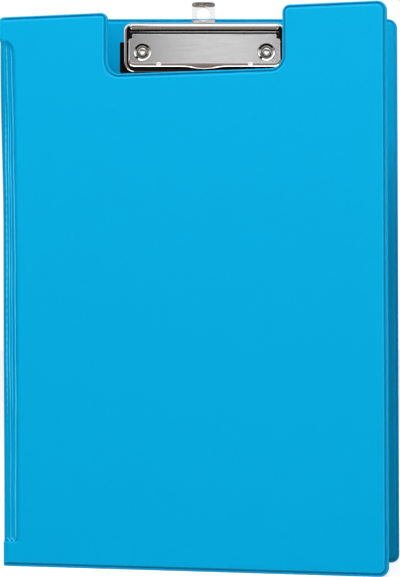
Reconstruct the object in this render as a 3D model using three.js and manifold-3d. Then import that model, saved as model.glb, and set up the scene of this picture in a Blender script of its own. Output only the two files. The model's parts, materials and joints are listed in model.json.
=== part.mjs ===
// A4 folding clipboard: two foil-covered boards joined by a soft spine, standing upright and
// ajar like a book. The back panel carries a flat wire-bail clip with a sliding hanger, and the
// cover has a window cut out of its top edge for the clip.
// Millimetres. +X runs from the spine to the open edge, -Y is the front, +Z is up to the clip.
import * as THREE from 'three';
import { mergeVertices } from 'three/addons/utils/BufferGeometryUtils.js';
import Module from 'manifold-3d';

const wasm = await Module();
wasm.setup();

// Both panels
const panelWidth = 228;
const panelHeight = 318;
const panelCornerRadius = 4.2;
const leastCornerRadius = 0.5;
const boardThickness = 1.8;
const foilThickness = 0.4;
const looseGap = 0.3;
const seamWidth = 2.3;
const seamBeadWidth = 1.3;
const seamBeadHeight = 0.4;
const wallRun = 0.8;

// Hinge zone at the fold edge of each panel, with its weld ridges
const hingeZoneWidth = 8.7;
const hingeZoneEndHeight = 14;
const hingeRidgeWidth = 1.5;
const hingeRidgeHeight = 0.55;
const hingeRidgePlaces = [2.8, 4.8, 6.8];

// Spine and the folds on both sides of it
const spineWidth = 8.5;
const foldGap = 1.0;
const foldFoilReach = 0.7;
const foldFoilThickness = 0.6;
const foldFoilEndInset = 1.0;
const spineLean = THREE.MathUtils.degToRad(11.85);
const coverAngle = THREE.MathUtils.degToRad(18.94);

// Window in the cover's top edge
const windowStart = 64.0;
const windowEnd = 168.6;
const windowDepth = 36;
const windowFootRadius = 7;
const windowShoulderRadius = 4.2;

// Clip as a whole
const clipCentre = 115.6;
const sheetThickness = 0.6;

// Counter plate under the clip, with the tongue and lugs that guide the hanger
const counterWidth = 98.6;
const counterTopDrop = 13.8;
const counterHeight = 18;
const tongueWidth = 12.6;
const tongueTopDrop = 0.8;
const lugHeight = 4.4;
const lugTopDrop = 9.8;
const lugLipWidth = 1.4;

// Clip plate: a shallow pan with a rolled tube along its rear edge
const plateWidth = 88.2;
const plateFrontDrop = 26.7;
const plateRearDrop = 9.7;
const plateTopHeight = 6.2;
const plateCornerRadius = 4;
const plateRearCornerRadius = 1;
const skirtHeight = 2.6;
const tubeLength = 86.6;
const tubeDrop = 4.8;
const tubeHeight = 5.6;
const tubeRadius = 2.05;
const valleyDrop = 7.4;
const valleyHeight = 3.9;
const rollStart = THREE.MathUtils.degToRad(-140);
const rollEnd = THREE.MathUtils.degToRad(165);
const tuckedShare = 0.6;
const jawWidth = 54;
const jawClearance = 0.45;
const bulgeWidth = 27;
const bulgeReach = 0.9;
const bumpRadius = 1.3;

// Rivets that hold the clip, in dimples pressed into the plate
const rivetSpacing = 72.2;
const rivetDrop = 20.1;
const rivetRadius = 1.9;
const rivetBoreRadius = 1.25;
const rivetHeadRadius = 2.95;
const rivetHeadHeight = 1.1;
const rivetTailRadius = 2.7;
const rivetTailHeight = 0.8;
const dimpleRadius = 5.3;
const dimpleLipWidth = 0.6;
const dimpleFloorRadius = 4.4;
const washerRadius = 4.6;
const washerThickness = 0.5;

// Wire bail
const wireRadius = 1.1;
const bailWidth = 93.4;
const bailFrontDrop = 29.1;
const bailCornerRadius = 8;
const bailBendRadius = 1.6;
const bailStubLength = 12;

// Sliding hanger of clear plastic
const hangerWidth = 13.4;
const hangerThickness = 1.0;
const hangerTopReach = 9.4;
const hangerBarHeight = 3.1;
const hangerBarThickness = 2.6;
const hangerHoleRadius = 4.1;
const hangerHoleReach = 2.1;
const hangerFootWidth = 16.6;
const hangerFootHeight = 2.2;

// Fineness of round shapes, in steps
const cornerSteps = 5;
const roundSteps = 24;
const wireSides = 8;
const cutOverrun = 5;

// Sizes worked out from the ones above
const innerFace = boardThickness / 2 + looseGap;
const frontFace = innerFace + foilThickness;
const seamFace = looseGap / 2 + foilThickness;
const wallInset = seamWidth + wallRun;
const boardInset = wallInset + foilThickness + looseGap;
const foldPoint = new THREE.Vector3(-Math.sin(spineLean), -Math.cos(spineLean), 0)
  .multiplyScalar(spineWidth);
const rivetHoleRadius = rivetRadius + looseGap;
const dimpleFloorHeight = sheetThickness + looseGap;
const hangerFloor = sheetThickness + looseGap;
const lugGap = hangerThickness + 2 * looseGap;

const colours = { foil: '#00ade3', board: '#8d8f90', nickel: '#c9c9cc', clear: '#e9eef0' };

function foilMaterial() {
  return new THREE.MeshStandardMaterial({ color: colours.foil, roughness: 0.45, metalness: 0 });
}

function boardMaterial() {
  return new THREE.MeshStandardMaterial({ color: colours.board, roughness: 0.9, metalness: 0 });
}

function nickelMaterial() {
  return new THREE.MeshStandardMaterial({ color: colours.nickel, roughness: 0.18, metalness: 1 });
}

function clearMaterial() {
  return new THREE.MeshStandardMaterial({
    color: colours.clear,
    roughness: 0.1,
    transparent: true,
    opacity: 0.5,
  });
}

// Turns a closed geometry into a solid that can be joined and cut.
function solidOf(geometry) {
  const bare = geometry.clone();
  bare.deleteAttribute('normal');
  bare.deleteAttribute('uv');
  const merged = mergeVertices(bare);
  return new wasm.Manifold(new wasm.Mesh({
    numProp: 3,
    vertProperties: new Float32Array(merged.attributes.position.array),
    triVerts: new Uint32Array(merged.index.array),
  }));
}

// Turns a joined or cut solid back into a geometry.
function geometryOf(solid) {
  const mesh = solid.getMesh();
  const geometry = new THREE.BufferGeometry();
  geometry.setAttribute('position', new THREE.BufferAttribute(new Float32Array(mesh.vertProperties), 3));
  geometry.setIndex(new THREE.BufferAttribute(new Uint32Array(mesh.triVerts), 1));
  return geometry;
}

function namedMesh(name, geometry, material) {
  const mesh = new THREE.Mesh(geometry, material);
  mesh.name = name;
  return mesh;
}

// A flat outline in width and height, pushed out along the depth from one height above the
// board's mid-plane to another. Depth towards the front is -Y.
function slab(shape, fromHeight, toHeight) {
  const geometry = new THREE.ExtrudeGeometry(shape, {
    depth: toHeight - fromHeight,
    bevelEnabled: false,
    curveSegments: cornerSteps,
  });
  geometry.rotateX(Math.PI / 2);
  geometry.translate(0, -fromHeight, 0);
  return geometry;
}

function box(fromX, toX, fromHeight, toHeight, fromZ, toZ) {
  const geometry = new THREE.BoxGeometry(toX - fromX, toHeight - fromHeight, toZ - fromZ);
  geometry.translate((fromX + toX) / 2, -(fromHeight + toHeight) / 2, (fromZ + toZ) / 2);
  return geometry;
}

// A round solid about an axis that points to the front, from a profile of radius and height.
function turned(profile, x, z) {
  const geometry = new THREE.LatheGeometry(profile.map(([r, h]) => new THREE.Vector2(r, h)), roundSteps);
  geometry.rotateX(Math.PI);
  geometry.translate(x, 0, z);
  return geometry;
}

function pin(radius, fromHeight, toHeight, x, z) {
  return turned([[0, fromHeight], [radius, fromHeight], [radius, toHeight], [0, toHeight]], x, z);
}

function shapeOf(points) {
  return new THREE.Shape(points.map(([x, y]) => new THREE.Vector2(x, y)));
}

// Corners of the back panel and of the cover, counter-clockwise, with the round of each corner.
function plainCorners() {
  return [
    [foldGap, 0, panelCornerRadius],
    [panelWidth, 0, panelCornerRadius],
    [panelWidth, panelHeight, panelCornerRadius],
    [foldGap, panelHeight, panelCornerRadius],
  ];
}

function windowedCorners() {
  const windowFoot = panelHeight - windowDepth;
  return [
    [foldGap, 0, panelCornerRadius],
    [panelWidth, 0, panelCornerRadius],
    [panelWidth, panelHeight, panelCornerRadius],
    [windowEnd, panelHeight, windowShoulderRadius],
    [windowEnd, windowFoot, windowFootRadius],
    [windowStart, windowFoot, windowFootRadius],
    [windowStart, panelHeight, windowShoulderRadius],
    [foldGap, panelHeight, panelCornerRadius],
  ];
}

// The outline drawn in by one inset all round and by another at the fold edge. Outward corners
// get tighter as they move in and inward ones get wider, so the seam keeps its width.
function outline(corners, inset, foldInset) {
  const points = [];
  corners.forEach(([x, z, round], i) => {
    const before = corners[(i + corners.length - 1) % corners.length];
    const after = corners[(i + 1) % corners.length];
    const into = new THREE.Vector2(x - before[0], z - before[1]).normalize();
    const out = new THREE.Vector2(after[0] - x, after[1] - z).normalize();
    const leftIn = new THREE.Vector2(-into.y, into.x);
    const leftOut = new THREE.Vector2(-out.y, out.x);
    const convex = into.x * out.y - into.y * out.x > 0;
    const insetBefore = x === foldGap && before[0] === foldGap ? foldInset : inset;
    const insetAfter = x === foldGap && after[0] === foldGap ? foldInset : inset;
    const radius = convex ? Math.max(round - inset, leastCornerRadius) : round + inset;
    const side = convex ? 1 : -1;
    const centre = new THREE.Vector2(x, z)
      .addScaledVector(leftIn, insetBefore + side * radius)
      .addScaledVector(leftOut, insetAfter + side * radius);
    const start = Math.atan2(-side * leftIn.y, -side * leftIn.x);
    for (let step = 0; step <= cornerSteps; step += 1) {
      const angle = start + side * (Math.PI / 2) * (step / cornerSteps);
      points.push([centre.x + radius * Math.cos(angle), centre.y + radius * Math.sin(angle)]);
    }
  });
  return points;
}

// Joins rings of equal point count into one closed skin and caps its first and last ring.
function skinned(rings) {
  const count = rings[0].length;
  const positions = rings.flat(2);
  const indices = [];
  for (let ring = 0; ring + 1 < rings.length; ring += 1) {
    for (let i = 0; i < count; i += 1) {
      const next = (i + 1) % count;
      const a = ring * count;
      const b = a + count;
      indices.push(a + i, a + next, b + next, a + i, b + next, b + i);
    }
  }
  const last = (rings.length - 1) * count;
  const flat = (ring) => ring.map(([x, , z]) => new THREE.Vector2(x, z));
  for (const [a, b, c] of THREE.ShapeUtils.triangulateShape(flat(rings[0]), [])) {
    indices.push(a, c, b);
  }
  for (const [a, b, c] of THREE.ShapeUtils.triangulateShape(flat(rings[rings.length - 1]), [])) {
    indices.push(last + a, last + b, last + c);
  }
  const geometry = new THREE.BufferGeometry();
  geometry.setAttribute('position', new THREE.Float32BufferAttribute(positions, 3));
  geometry.setIndex(indices);
  return geometry;
}

// One foil of a panel: a shallow tray whose flat seam meets the other foil, with a bead along
// the outer edge, a groove inside it and a sloping wall up to the board's face. Side is 1 for
// the foil that faces the front and -1 for its mirror image behind the board.
function foilTray(corners, side) {
  const beadTop = seamFace + seamBeadHeight;
  const beadRound = seamBeadWidth / 3;
  const profile = [
    [wallInset + foilThickness, innerFace],
    [seamWidth + foilThickness, looseGap / 2],
    [0, looseGap / 2],
    [0, seamFace],
    [beadRound, beadTop],
    [seamBeadWidth - beadRound, beadTop],
    [seamBeadWidth, seamFace],
    [seamWidth, seamFace],
    [wallInset, frontFace],
  ];
  const extraAtFold = hingeZoneWidth - foldGap - wallInset;
  const rings = profile.map(([inset, height]) => {
    const foldInset = inset < seamWidth ? inset : inset + extraAtFold;
    return outline(corners, inset, foldInset).map(([x, z]) => [x, -side * height, z]);
  });
  return skinned(side > 0 ? rings : rings.reverse());
}

// A weld ridge that runs along the hinge zone, with sloping flanks.
function hingeRidge(place, side) {
  const half = hingeRidgeWidth / 2;
  const low = -side * (seamFace - foilThickness / 2);
  const high = -side * (seamFace + hingeRidgeHeight);
  const section = shapeOf([
    [place - half, low],
    [place + half, low],
    [place + half / 2, high],
    [place - half / 2, high],
  ]);
  const geometry = new THREE.ExtrudeGeometry(section, {
    depth: panelHeight - 2 * hingeZoneEndHeight,
    bevelEnabled: false,
  });
  geometry.translate(0, 0, hingeZoneEndHeight);
  return geometry;
}

// The flat raised end of the hinge zone, below or above its ridges.
function hingeEnd(low, high, side) {
  const levels = [side * (seamFace - foilThickness / 2), side * (seamFace + hingeRidgeHeight)];
  const [from, to] = levels.sort((a, b) => a - b);
  return box(foldGap + seamWidth, hingeZoneWidth, from, to, low, high);
}

function hingeZoneSolids(side) {
  const endTop = hingeZoneEndHeight - seamWidth;
  return [
    ...hingeRidgePlaces.map((place) => hingeRidge(place, side)),
    hingeEnd(seamWidth, endTop, side),
    hingeEnd(panelHeight - endTop, panelHeight - seamWidth, side),
  ].map(solidOf);
}

function foilGeometry(corners, side, holes) {
  let solid = solidOf(foilTray(corners, side));
  for (const relief of hingeZoneSolids(side)) {
    solid = solid.add(relief);
  }
  for (const hole of holes) {
    solid = solid.subtract(hole);
  }
  return geometryOf(solid);
}

function boardGeometry(corners, holes) {
  const foldInset = hingeZoneWidth - foldGap + foilThickness + looseGap;
  const shape = shapeOf(outline(corners, boardInset, foldInset));
  let solid = solidOf(slab(shape, -boardThickness / 2, boardThickness / 2));
  for (const hole of holes) {
    solid = solid.subtract(hole);
  }
  return geometryOf(solid);
}

function rivetPlaces() {
  return [-1, 1].map((side) => [clipCentre + side * rivetSpacing / 2, panelHeight - rivetDrop]);
}

function rivetHoles() {
  return rivetPlaces().map(([x, z]) => (
    solidOf(pin(rivetHoleRadius, -frontFace - cutOverrun, frontFace + cutOverrun, x, z))
  ));
}

// The welded line of foil that bends at a fold: two short legs along the pieces it joins.
function foldFoilGeometry(legAngle) {
  const half = foldFoilThickness / 2;
  const bend = legAngle / 2;
  const miter = half / Math.sin(bend);
  const along = new THREE.Vector2(Math.cos(legAngle), Math.sin(legAngle));
  const across = new THREE.Vector2(-along.y, along.x);
  const inner = new THREE.Vector2(Math.cos(bend), Math.sin(bend)).multiplyScalar(miter);
  const far = along.clone().multiplyScalar(foldFoilReach);
  const section = new THREE.Shape([
    new THREE.Vector2(foldFoilReach, half),
    inner,
    far.clone().addScaledVector(across, -half),
    far.clone().addScaledVector(across, half),
    inner.clone().negate(),
    new THREE.Vector2(foldFoilReach, -half),
  ]);
  const geometry = new THREE.ExtrudeGeometry(section, {
    depth: panelHeight - 2 * foldFoilEndInset,
    bevelEnabled: false,
  });
  geometry.translate(0, 0, foldFoilEndInset);
  return geometry;
}

function backPanel() {
  const group = new THREE.Group();
  const corners = plainCorners();
  const holes = rivetHoles();
  group.add(namedMesh('back_board', boardGeometry(corners, holes), boardMaterial()));
  group.add(namedMesh('back_front_foil', foilGeometry(corners, 1, holes), foilMaterial()));
  group.add(namedMesh('back_rear_foil', foilGeometry(corners, -1, holes), foilMaterial()));
  const legAngle = -(Math.PI / 2 + spineLean);
  group.add(namedMesh('back_fold_foil', foldFoilGeometry(legAngle), foilMaterial()));
  return group;
}

// The spine's own frame starts at the back fold and runs to the cover fold along its +X.
function spine() {
  const group = new THREE.Group();
  group.rotation.z = -(Math.PI / 2 + spineLean);
  const from = foldGap;
  const to = spineWidth - foldGap;
  const outer = box(from, to, looseGap / 2, seamFace, 0, panelHeight);
  const inner = box(from, to, -seamFace, -looseGap / 2, 0, panelHeight);
  group.add(namedMesh('spine_outer_foil', outer, foilMaterial()));
  group.add(namedMesh('spine_inner_foil', inner, foilMaterial()));
  return group;
}

function cover() {
  const group = new THREE.Group();
  group.position.copy(foldPoint);
  group.rotation.z = -coverAngle;
  const corners = windowedCorners();
  group.add(namedMesh('cover_board', boardGeometry(corners, []), boardMaterial()));
  group.add(namedMesh('cover_outer_foil', foilGeometry(corners, 1, []), foilMaterial()));
  group.add(namedMesh('cover_inner_foil', foilGeometry(corners, -1, []), foilMaterial()));
  const legAngle = Math.PI / 2 - spineLean + coverAngle;
  group.add(namedMesh('cover_fold_foil', foldFoilGeometry(legAngle), foilMaterial()));
  return group;
}

// The clip's own frame has its middle at x = 0 and its heights measured from the back
// panel's front face. The drops are measured down from the top edge of the panel.
function fromTop(drop) {
  return panelHeight - drop;
}

function counterPlate() {
  const half = counterWidth / 2;
  const top = fromTop(counterTopDrop);
  const tongueHalf = tongueWidth / 2;
  const lugInner = hangerWidth / 2 + looseGap;
  const lugOuter = lugInner + sheetThickness;
  const lugLow = fromTop(lugTopDrop) - lugHeight;
  const lipLow = sheetThickness + lugGap;
  let solid = solidOf(box(-half, half, 0, sheetThickness, top - counterHeight, top));
  const tongueLow = top - sheetThickness;
  const tongueHigh = fromTop(tongueTopDrop);
  solid = solid.add(solidOf(box(-tongueHalf, tongueHalf, 0, sheetThickness, tongueLow, tongueHigh)));
  const lugBase = lugOuter + sheetThickness;
  solid = solid.add(solidOf(box(-lugBase, lugBase, 0, sheetThickness, tongueLow, fromTop(lugTopDrop))));
  for (const side of [-1, 1]) {
    const wall = [side * lugInner, side * lugOuter].sort((a, b) => a - b);
    const lip = [side * (lugOuter - lugLipWidth), side * lugOuter].sort((a, b) => a - b);
    const lugHigh = fromTop(lugTopDrop);
    solid = solid.add(solidOf(box(...wall, sheetThickness / 2, lipLow + sheetThickness, lugLow, lugHigh)));
    solid = solid.add(solidOf(box(...lip, lipLow, lipLow + sheetThickness, lugLow, lugHigh)));
  }
  for (const side of [-1, 1]) {
    const x = side * rivetSpacing / 2;
    solid = solid.subtract(solidOf(pin(rivetHoleRadius, -cutOverrun, cutOverrun, x, fromTop(rivetDrop))));
  }
  return namedMesh('counter_plate', geometryOf(solid), nickelMaterial());
}

// Outline of the pan from above, with round front corners and nearly square rear ones.
function panShape(inset, rearReach) {
  const half = plateWidth / 2 - inset;
  const front = fromTop(plateFrontDrop) + inset;
  const rear = fromTop(plateRearDrop) + rearReach;
  const round = plateCornerRadius - inset;
  const rearRound = plateRearCornerRadius;
  const shape = new THREE.Shape();
  shape.moveTo(-half, rear - rearRound);
  shape.lineTo(-half, front + round);
  shape.absarc(-half + round, front + round, round, Math.PI, Math.PI * 3 / 2, false);
  shape.lineTo(half - round, front);
  shape.absarc(half - round, front + round, round, -Math.PI / 2, 0, false);
  shape.lineTo(half, rear - rearRound);
  shape.absarc(half - rearRound, rear - rearRound, rearRound, 0, Math.PI / 2, false);
  shape.lineTo(-half + rearRound, rear);
  shape.absarc(-half + rearRound, rear - rearRound, rearRound, Math.PI / 2, Math.PI, false);
  return shape;
}

// Side view of the sheet from the pan's rear edge down into the valley and round the tube.
function rolledEdge() {
  const half = sheetThickness / 2;
  const level = plateTopHeight - half;
  const centreZ = fromTop(tubeDrop);
  const path = [
    [fromTop(plateRearDrop) - plateRearCornerRadius - sheetThickness, level],
    [fromTop(plateRearDrop), level],
    [fromTop(valleyDrop) - half, valleyHeight + half],
    [fromTop(valleyDrop) + half, valleyHeight],
  ];
  const steps = roundSteps / 2;
  const roll = arcPoints(centreZ, tubeHeight, tubeRadius - half, rollStart, rollEnd, steps);
  path.push(...roll.map((point) => [point.x, point.y]));
  const left = [];
  const right = [];
  path.forEach(([z, h], i) => {
    const before = path[Math.max(i - 1, 0)];
    const after = path[Math.min(i + 1, path.length - 1)];
    const run = new THREE.Vector2(after[0] - before[0], after[1] - before[1]).normalize();
    const reach = i < 2 ? half * tuckedShare : half;
    left.push([z - run.y * reach, h + run.x * reach]);
    right.unshift([z + run.y * reach, h - run.x * reach]);
  });
  const shape = shapeOf([...left, ...right]);
  const geometry = new THREE.ExtrudeGeometry(shape, { depth: tubeLength, bevelEnabled: false });
  geometry.translate(0, 0, -tubeLength / 2);
  const swap = new THREE.Matrix4().makeBasis(
    new THREE.Vector3(0, 0, 1),
    new THREE.Vector3(0, -1, 0),
    new THREE.Vector3(1, 0, 0),
  );
  geometry.applyMatrix4(swap);
  return geometry;
}

function dimple(x) {
  const top = plateTopHeight;
  const floor = dimpleFloorHeight;
  const inner = dimpleRadius - dimpleLipWidth;
  const hole = rivetHoleRadius;
  const lip = sheetThickness * (1 - tuckedShare) / 2;
  const profile = [
    [dimpleRadius, top - sheetThickness + lip],
    [dimpleRadius, top - lip],
    [inner, top - lip],
    [dimpleFloorRadius - sheetThickness, floor + sheetThickness],
    [hole, floor + sheetThickness],
    [hole, floor],
    [dimpleFloorRadius, floor],
    [inner + sheetThickness / 2, top - sheetThickness + lip],
    [dimpleRadius, top - sheetThickness + lip],
  ];
  return turned(profile, x, fromTop(rivetDrop));
}

// The forward bulge in the middle of the jaw, where a finger lifts the bail.
function jawBulge() {
  const half = bulgeWidth / 2;
  const front = fromTop(plateFrontDrop);
  const shape = new THREE.Shape();
  shape.moveTo(-half, front + sheetThickness);
  shape.lineTo(-half, front);
  shape.quadraticCurveTo(0, front - 2 * bulgeReach, half, front);
  shape.lineTo(half, front + sheetThickness);
  return slab(shape, plateTopHeight - skirtHeight, plateTopHeight - sheetThickness / 2);
}

function clipPlate() {
  const top = plateTopHeight;
  const rivetZ = fromTop(rivetDrop);
  let solid = solidOf(slab(panShape(0, 0), top - skirtHeight, top));
  const hollow = panShape(sheetThickness, cutOverrun);
  solid = solid.subtract(solidOf(slab(hollow, -cutOverrun, top - sheetThickness)));
  const jawHalf = jawWidth / 2;
  const front = fromTop(plateFrontDrop);
  const jawLow = sheetThickness + jawClearance;
  const jaw = box(-jawHalf, jawHalf, jawLow, top - sheetThickness / 2, front, front + sheetThickness);
  solid = solid.add(solidOf(jaw));
  solid = solid.add(solidOf(jawBulge()));
  for (const side of [-1, 1]) {
    const bump = new THREE.SphereGeometry(bumpRadius, roundSteps / 2, roundSteps / 4);
    bump.translate(side * (jawHalf + bumpRadius / 2), -(top - sheetThickness / 2), front + bumpRadius);
    solid = solid.add(solidOf(bump));
    const x = side * rivetSpacing / 2;
    solid = solid.subtract(solidOf(pin(dimpleRadius - dimpleLipWidth / 2, 0, top + cutOverrun, x, rivetZ)));
    solid = solid.add(solidOf(dimple(x)));
  }
  solid = solid.add(solidOf(rolledEdge()));
  return namedMesh('clip_plate', geometryOf(solid), nickelMaterial());
}

function arcPoints(cx, cy, radius, from, to, steps) {
  const points = [];
  for (let i = 0; i <= steps; i += 1) {
    const angle = from + (to - from) * (i / steps);
    points.push(new THREE.Vector2(cx + radius * Math.cos(angle), cy + radius * Math.sin(angle)));
  }
  return points;
}

// The bail's centre line from one end inside the tube round the front to the other, in a frame
// whose origin is the tube's middle. y runs towards the rear.
function bailPath() {
  const arm = bailWidth / 2 - wireRadius;
  const front = -Math.hypot(bailFrontDrop - tubeDrop, tubeHeight - bailRestHeight());
  const end = tubeLength / 2 - bailStubLength;
  const half = Math.PI / 2;
  const right = [
    new THREE.Vector2(end, 0),
    ...arcPoints(arm - bailBendRadius, -bailBendRadius, bailBendRadius, half, 0, cornerSteps),
    ...arcPoints(arm - bailCornerRadius, front + bailCornerRadius, bailCornerRadius, 0, -half, cornerSteps),
  ];
  const left = right.map((p) => new THREE.Vector2(-p.x, p.y)).reverse();
  return [...right, ...left];
}

function bailRestHeight() {
  return sheetThickness + looseGap + wireRadius;
}

// Rings of a round wire along a flat path, mitred where the path turns.
function wireRings(path) {
  return path.map((p, i) => {
    const into = i > 0 ? p.clone().sub(path[i - 1]).normalize() : path[1].clone().sub(p).normalize();
    const out = i + 1 < path.length ? path[i + 1].clone().sub(p).normalize() : into;
    const run = into.clone().add(out).normalize();
    const spread = 1 / run.dot(into);
    const side = new THREE.Vector2(-run.y, run.x).multiplyScalar(wireRadius * spread);
    const ring = [];
    for (let k = 0; k < wireSides; k += 1) {
      const angle = (k / wireSides) * 2 * Math.PI;
      const across = Math.cos(angle);
      ring.push([p.x + side.x * across, -wireRadius * Math.sin(angle), p.y + side.y * across]);
    }
    return ring;
  });
}

// Closes the wire with a fan at each end, whose face is square to the tube.
function wireGeometry(rings) {
  const count = rings[0].length;
  const indices = [];
  for (let ring = 0; ring + 1 < rings.length; ring += 1) {
    for (let i = 0; i < count; i += 1) {
      const next = (i + 1) % count;
      const a = ring * count;
      const b = a + count;
      indices.push(a + i, a + next, b + next, a + i, b + next, b + i);
    }
  }
  const last = (rings.length - 1) * count;
  for (let i = 1; i + 1 < count; i += 1) {
    indices.push(0, i + 1, i);
    indices.push(last, last + i, last + i + 1);
  }
  const geometry = new THREE.BufferGeometry();
  geometry.setAttribute('position', new THREE.Float32BufferAttribute(rings.flat(2), 3));
  geometry.setIndex(indices);
  return geometry;
}

function bail() {
  const lean = Math.atan2(tubeHeight - bailRestHeight(), bailFrontDrop - tubeDrop);
  const mesh = namedMesh('bail', wireGeometry(wireRings(bailPath())), nickelMaterial());
  mesh.position.set(0, -tubeHeight, fromTop(tubeDrop));
  mesh.rotation.x = -lean;
  return mesh;
}

// A hollow rivet through the dimple, the panel and a washer behind it, open at both ends.
function rivet(name, x) {
  const headLow = dimpleFloorHeight + sheetThickness + looseGap;
  const headTop = headLow + rivetHeadHeight;
  const rear = -2 * frontFace - washerThickness;
  const tail = rear - rivetTailHeight;
  const round = rivetHeadHeight / 2;
  const tailRound = rivetTailHeight / 2;
  const profile = [
    [rivetBoreRadius, headTop - round],
    [rivetBoreRadius + round / 2, headTop],
    [rivetHeadRadius - round, headTop],
    [rivetHeadRadius, headTop - round],
    [rivetHeadRadius, headLow],
    [rivetRadius, headLow],
    [rivetRadius, rear],
    [rivetTailRadius, rear],
    [rivetTailRadius, tail + tailRound],
    [rivetTailRadius - tailRound, tail],
    [rivetBoreRadius + tailRound / 2, tail],
    [rivetBoreRadius, tail + tailRound],
    [rivetBoreRadius, headTop - round],
  ];
  const solid = solidOf(turned(profile.reverse(), x, fromTop(rivetDrop)));
  return namedMesh(name, geometryOf(solid), nickelMaterial());
}

function washer(name, x) {
  const rear = -2 * frontFace;
  const profile = [
    [rivetHoleRadius, rear - washerThickness],
    [washerRadius, rear - washerThickness],
    [washerRadius, rear],
    [rivetHoleRadius, rear],
    [rivetHoleRadius, rear - washerThickness],
  ];
  return namedMesh(name, geometryOf(solidOf(turned(profile, x, fromTop(rivetDrop)))), nickelMaterial());
}

// The hanger: a strip with a foot that the lugs stop, a hanging hole and a thick bar to pull.
function hanger() {
  const half = hangerWidth / 2;
  const low = hangerFloor;
  const top = panelHeight + hangerTopReach;
  const barLow = top - hangerBarHeight;
  const footTop = fromTop(lugTopDrop) - lugHeight - looseGap;
  const footHalf = hangerFootWidth / 2;
  const footLow = footTop - hangerFootHeight;
  let solid = solidOf(box(-half, half, low, low + hangerThickness, footLow, barLow + hangerBarHeight / 2));
  solid = solid.add(solidOf(box(-footHalf, footHalf, low, low + hangerThickness, footLow, footTop)));
  const round = hangerBarHeight / 2;
  const bar = new THREE.Shape();
  bar.moveTo(-half + round, barLow);
  bar.lineTo(half - round, barLow);
  bar.absarc(half - round, barLow + round, round, -Math.PI / 2, Math.PI / 2, false);
  bar.lineTo(-half + round, top);
  bar.absarc(-half + round, barLow + round, round, Math.PI / 2, Math.PI * 3 / 2, false);
  solid = solid.add(solidOf(slab(bar, low, low + hangerBarThickness)));
  const holeZ = panelHeight + hangerHoleReach;
  solid = solid.subtract(solidOf(pin(hangerHoleRadius, -cutOverrun, cutOverrun, 0, holeZ)));
  return namedMesh('hanger', geometryOf(solid), clearMaterial());
}

function clip() {
  const group = new THREE.Group();
  group.position.set(clipCentre, -frontFace, 0);
  group.add(counterPlate());
  group.add(clipPlate());
  group.add(bail());
  group.add(rivet('rivet_left', -rivetSpacing / 2));
  group.add(rivet('rivet_right', rivetSpacing / 2));
  group.add(washer('washer_left', -rivetSpacing / 2));
  group.add(washer('washer_right', rivetSpacing / 2));
  group.add(hanger());
  return group;
}

// The whole clipboard stands on its bottom edges, with the middle of its box over the origin.
const clipboard = new THREE.Group();
clipboard.add(backPanel(), spine(), cover(), clip());
clipboard.updateMatrixWorld(true);
const bounds = new THREE.Box3().setFromObject(clipboard, true);
const middle = bounds.getCenter(new THREE.Vector3());
clipboard.position.set(-middle.x, -middle.y, -bounds.min.z);

export default clipboard;
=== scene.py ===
"""Dresses a folding A4 clipboard that stands ajar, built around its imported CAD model.

Sizes are in millimetres and become metres when a mesh is made. Three flat frames carry the
pieces: the back panel's, the spine's and the cover's. In each, u runs along the width away
from its corner, n is the height above its middle plane and w is the height above the floor.
"""
from __future__ import annotations

import json
import logging
import math
from collections.abc import Callable
from dataclasses import dataclass
from enum import Enum

import bmesh
import bpy
import numpy as np
from mathutils import Euler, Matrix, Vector
from mathutils.geometry import tessellate_polygon

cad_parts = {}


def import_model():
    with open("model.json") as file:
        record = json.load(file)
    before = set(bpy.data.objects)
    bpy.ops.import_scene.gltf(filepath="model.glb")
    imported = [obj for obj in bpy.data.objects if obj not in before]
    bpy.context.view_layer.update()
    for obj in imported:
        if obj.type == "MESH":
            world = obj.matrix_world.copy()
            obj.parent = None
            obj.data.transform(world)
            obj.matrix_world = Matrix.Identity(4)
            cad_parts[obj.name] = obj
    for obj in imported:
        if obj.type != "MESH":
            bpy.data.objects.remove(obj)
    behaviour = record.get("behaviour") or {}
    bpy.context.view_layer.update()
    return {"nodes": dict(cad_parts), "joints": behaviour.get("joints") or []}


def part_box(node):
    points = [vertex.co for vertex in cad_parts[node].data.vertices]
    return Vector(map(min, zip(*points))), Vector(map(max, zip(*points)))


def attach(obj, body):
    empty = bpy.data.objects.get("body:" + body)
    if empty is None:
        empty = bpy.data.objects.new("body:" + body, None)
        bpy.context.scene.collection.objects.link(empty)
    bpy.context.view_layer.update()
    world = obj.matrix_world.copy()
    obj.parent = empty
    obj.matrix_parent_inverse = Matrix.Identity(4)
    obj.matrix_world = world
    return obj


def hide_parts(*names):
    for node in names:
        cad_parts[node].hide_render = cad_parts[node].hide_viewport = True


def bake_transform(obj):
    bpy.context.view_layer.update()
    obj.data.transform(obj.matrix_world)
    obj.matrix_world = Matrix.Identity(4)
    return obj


MM = 0.001
# The photograph has the clip a little nearer to the spine than the middle of its CAD box, in mm
CLIP_SHIFT = -0.75
# Radius of the rivets' holes in the back panel, gap from the bail's outer side to the plate's
# and height of the plate's front edge below the panel's top, in mm
RIVET_HOLE, BAIL_GAP, PLATE_DEPTH = 2.2, 2.45, 28.5
# Height of the hanger's hole above the panel's top, in mm
HOLE_RISE = 2.1
# How far the rivets' tails stand in front of the CAD nodes' rear ends, in mm
TAIL_INSET = 0.8
LOG = logging.getLogger("clipboard")


class Side(Enum):
    """The two faces of a panel."""

    FRONT = 1.0
    REAR = -1.0


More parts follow.
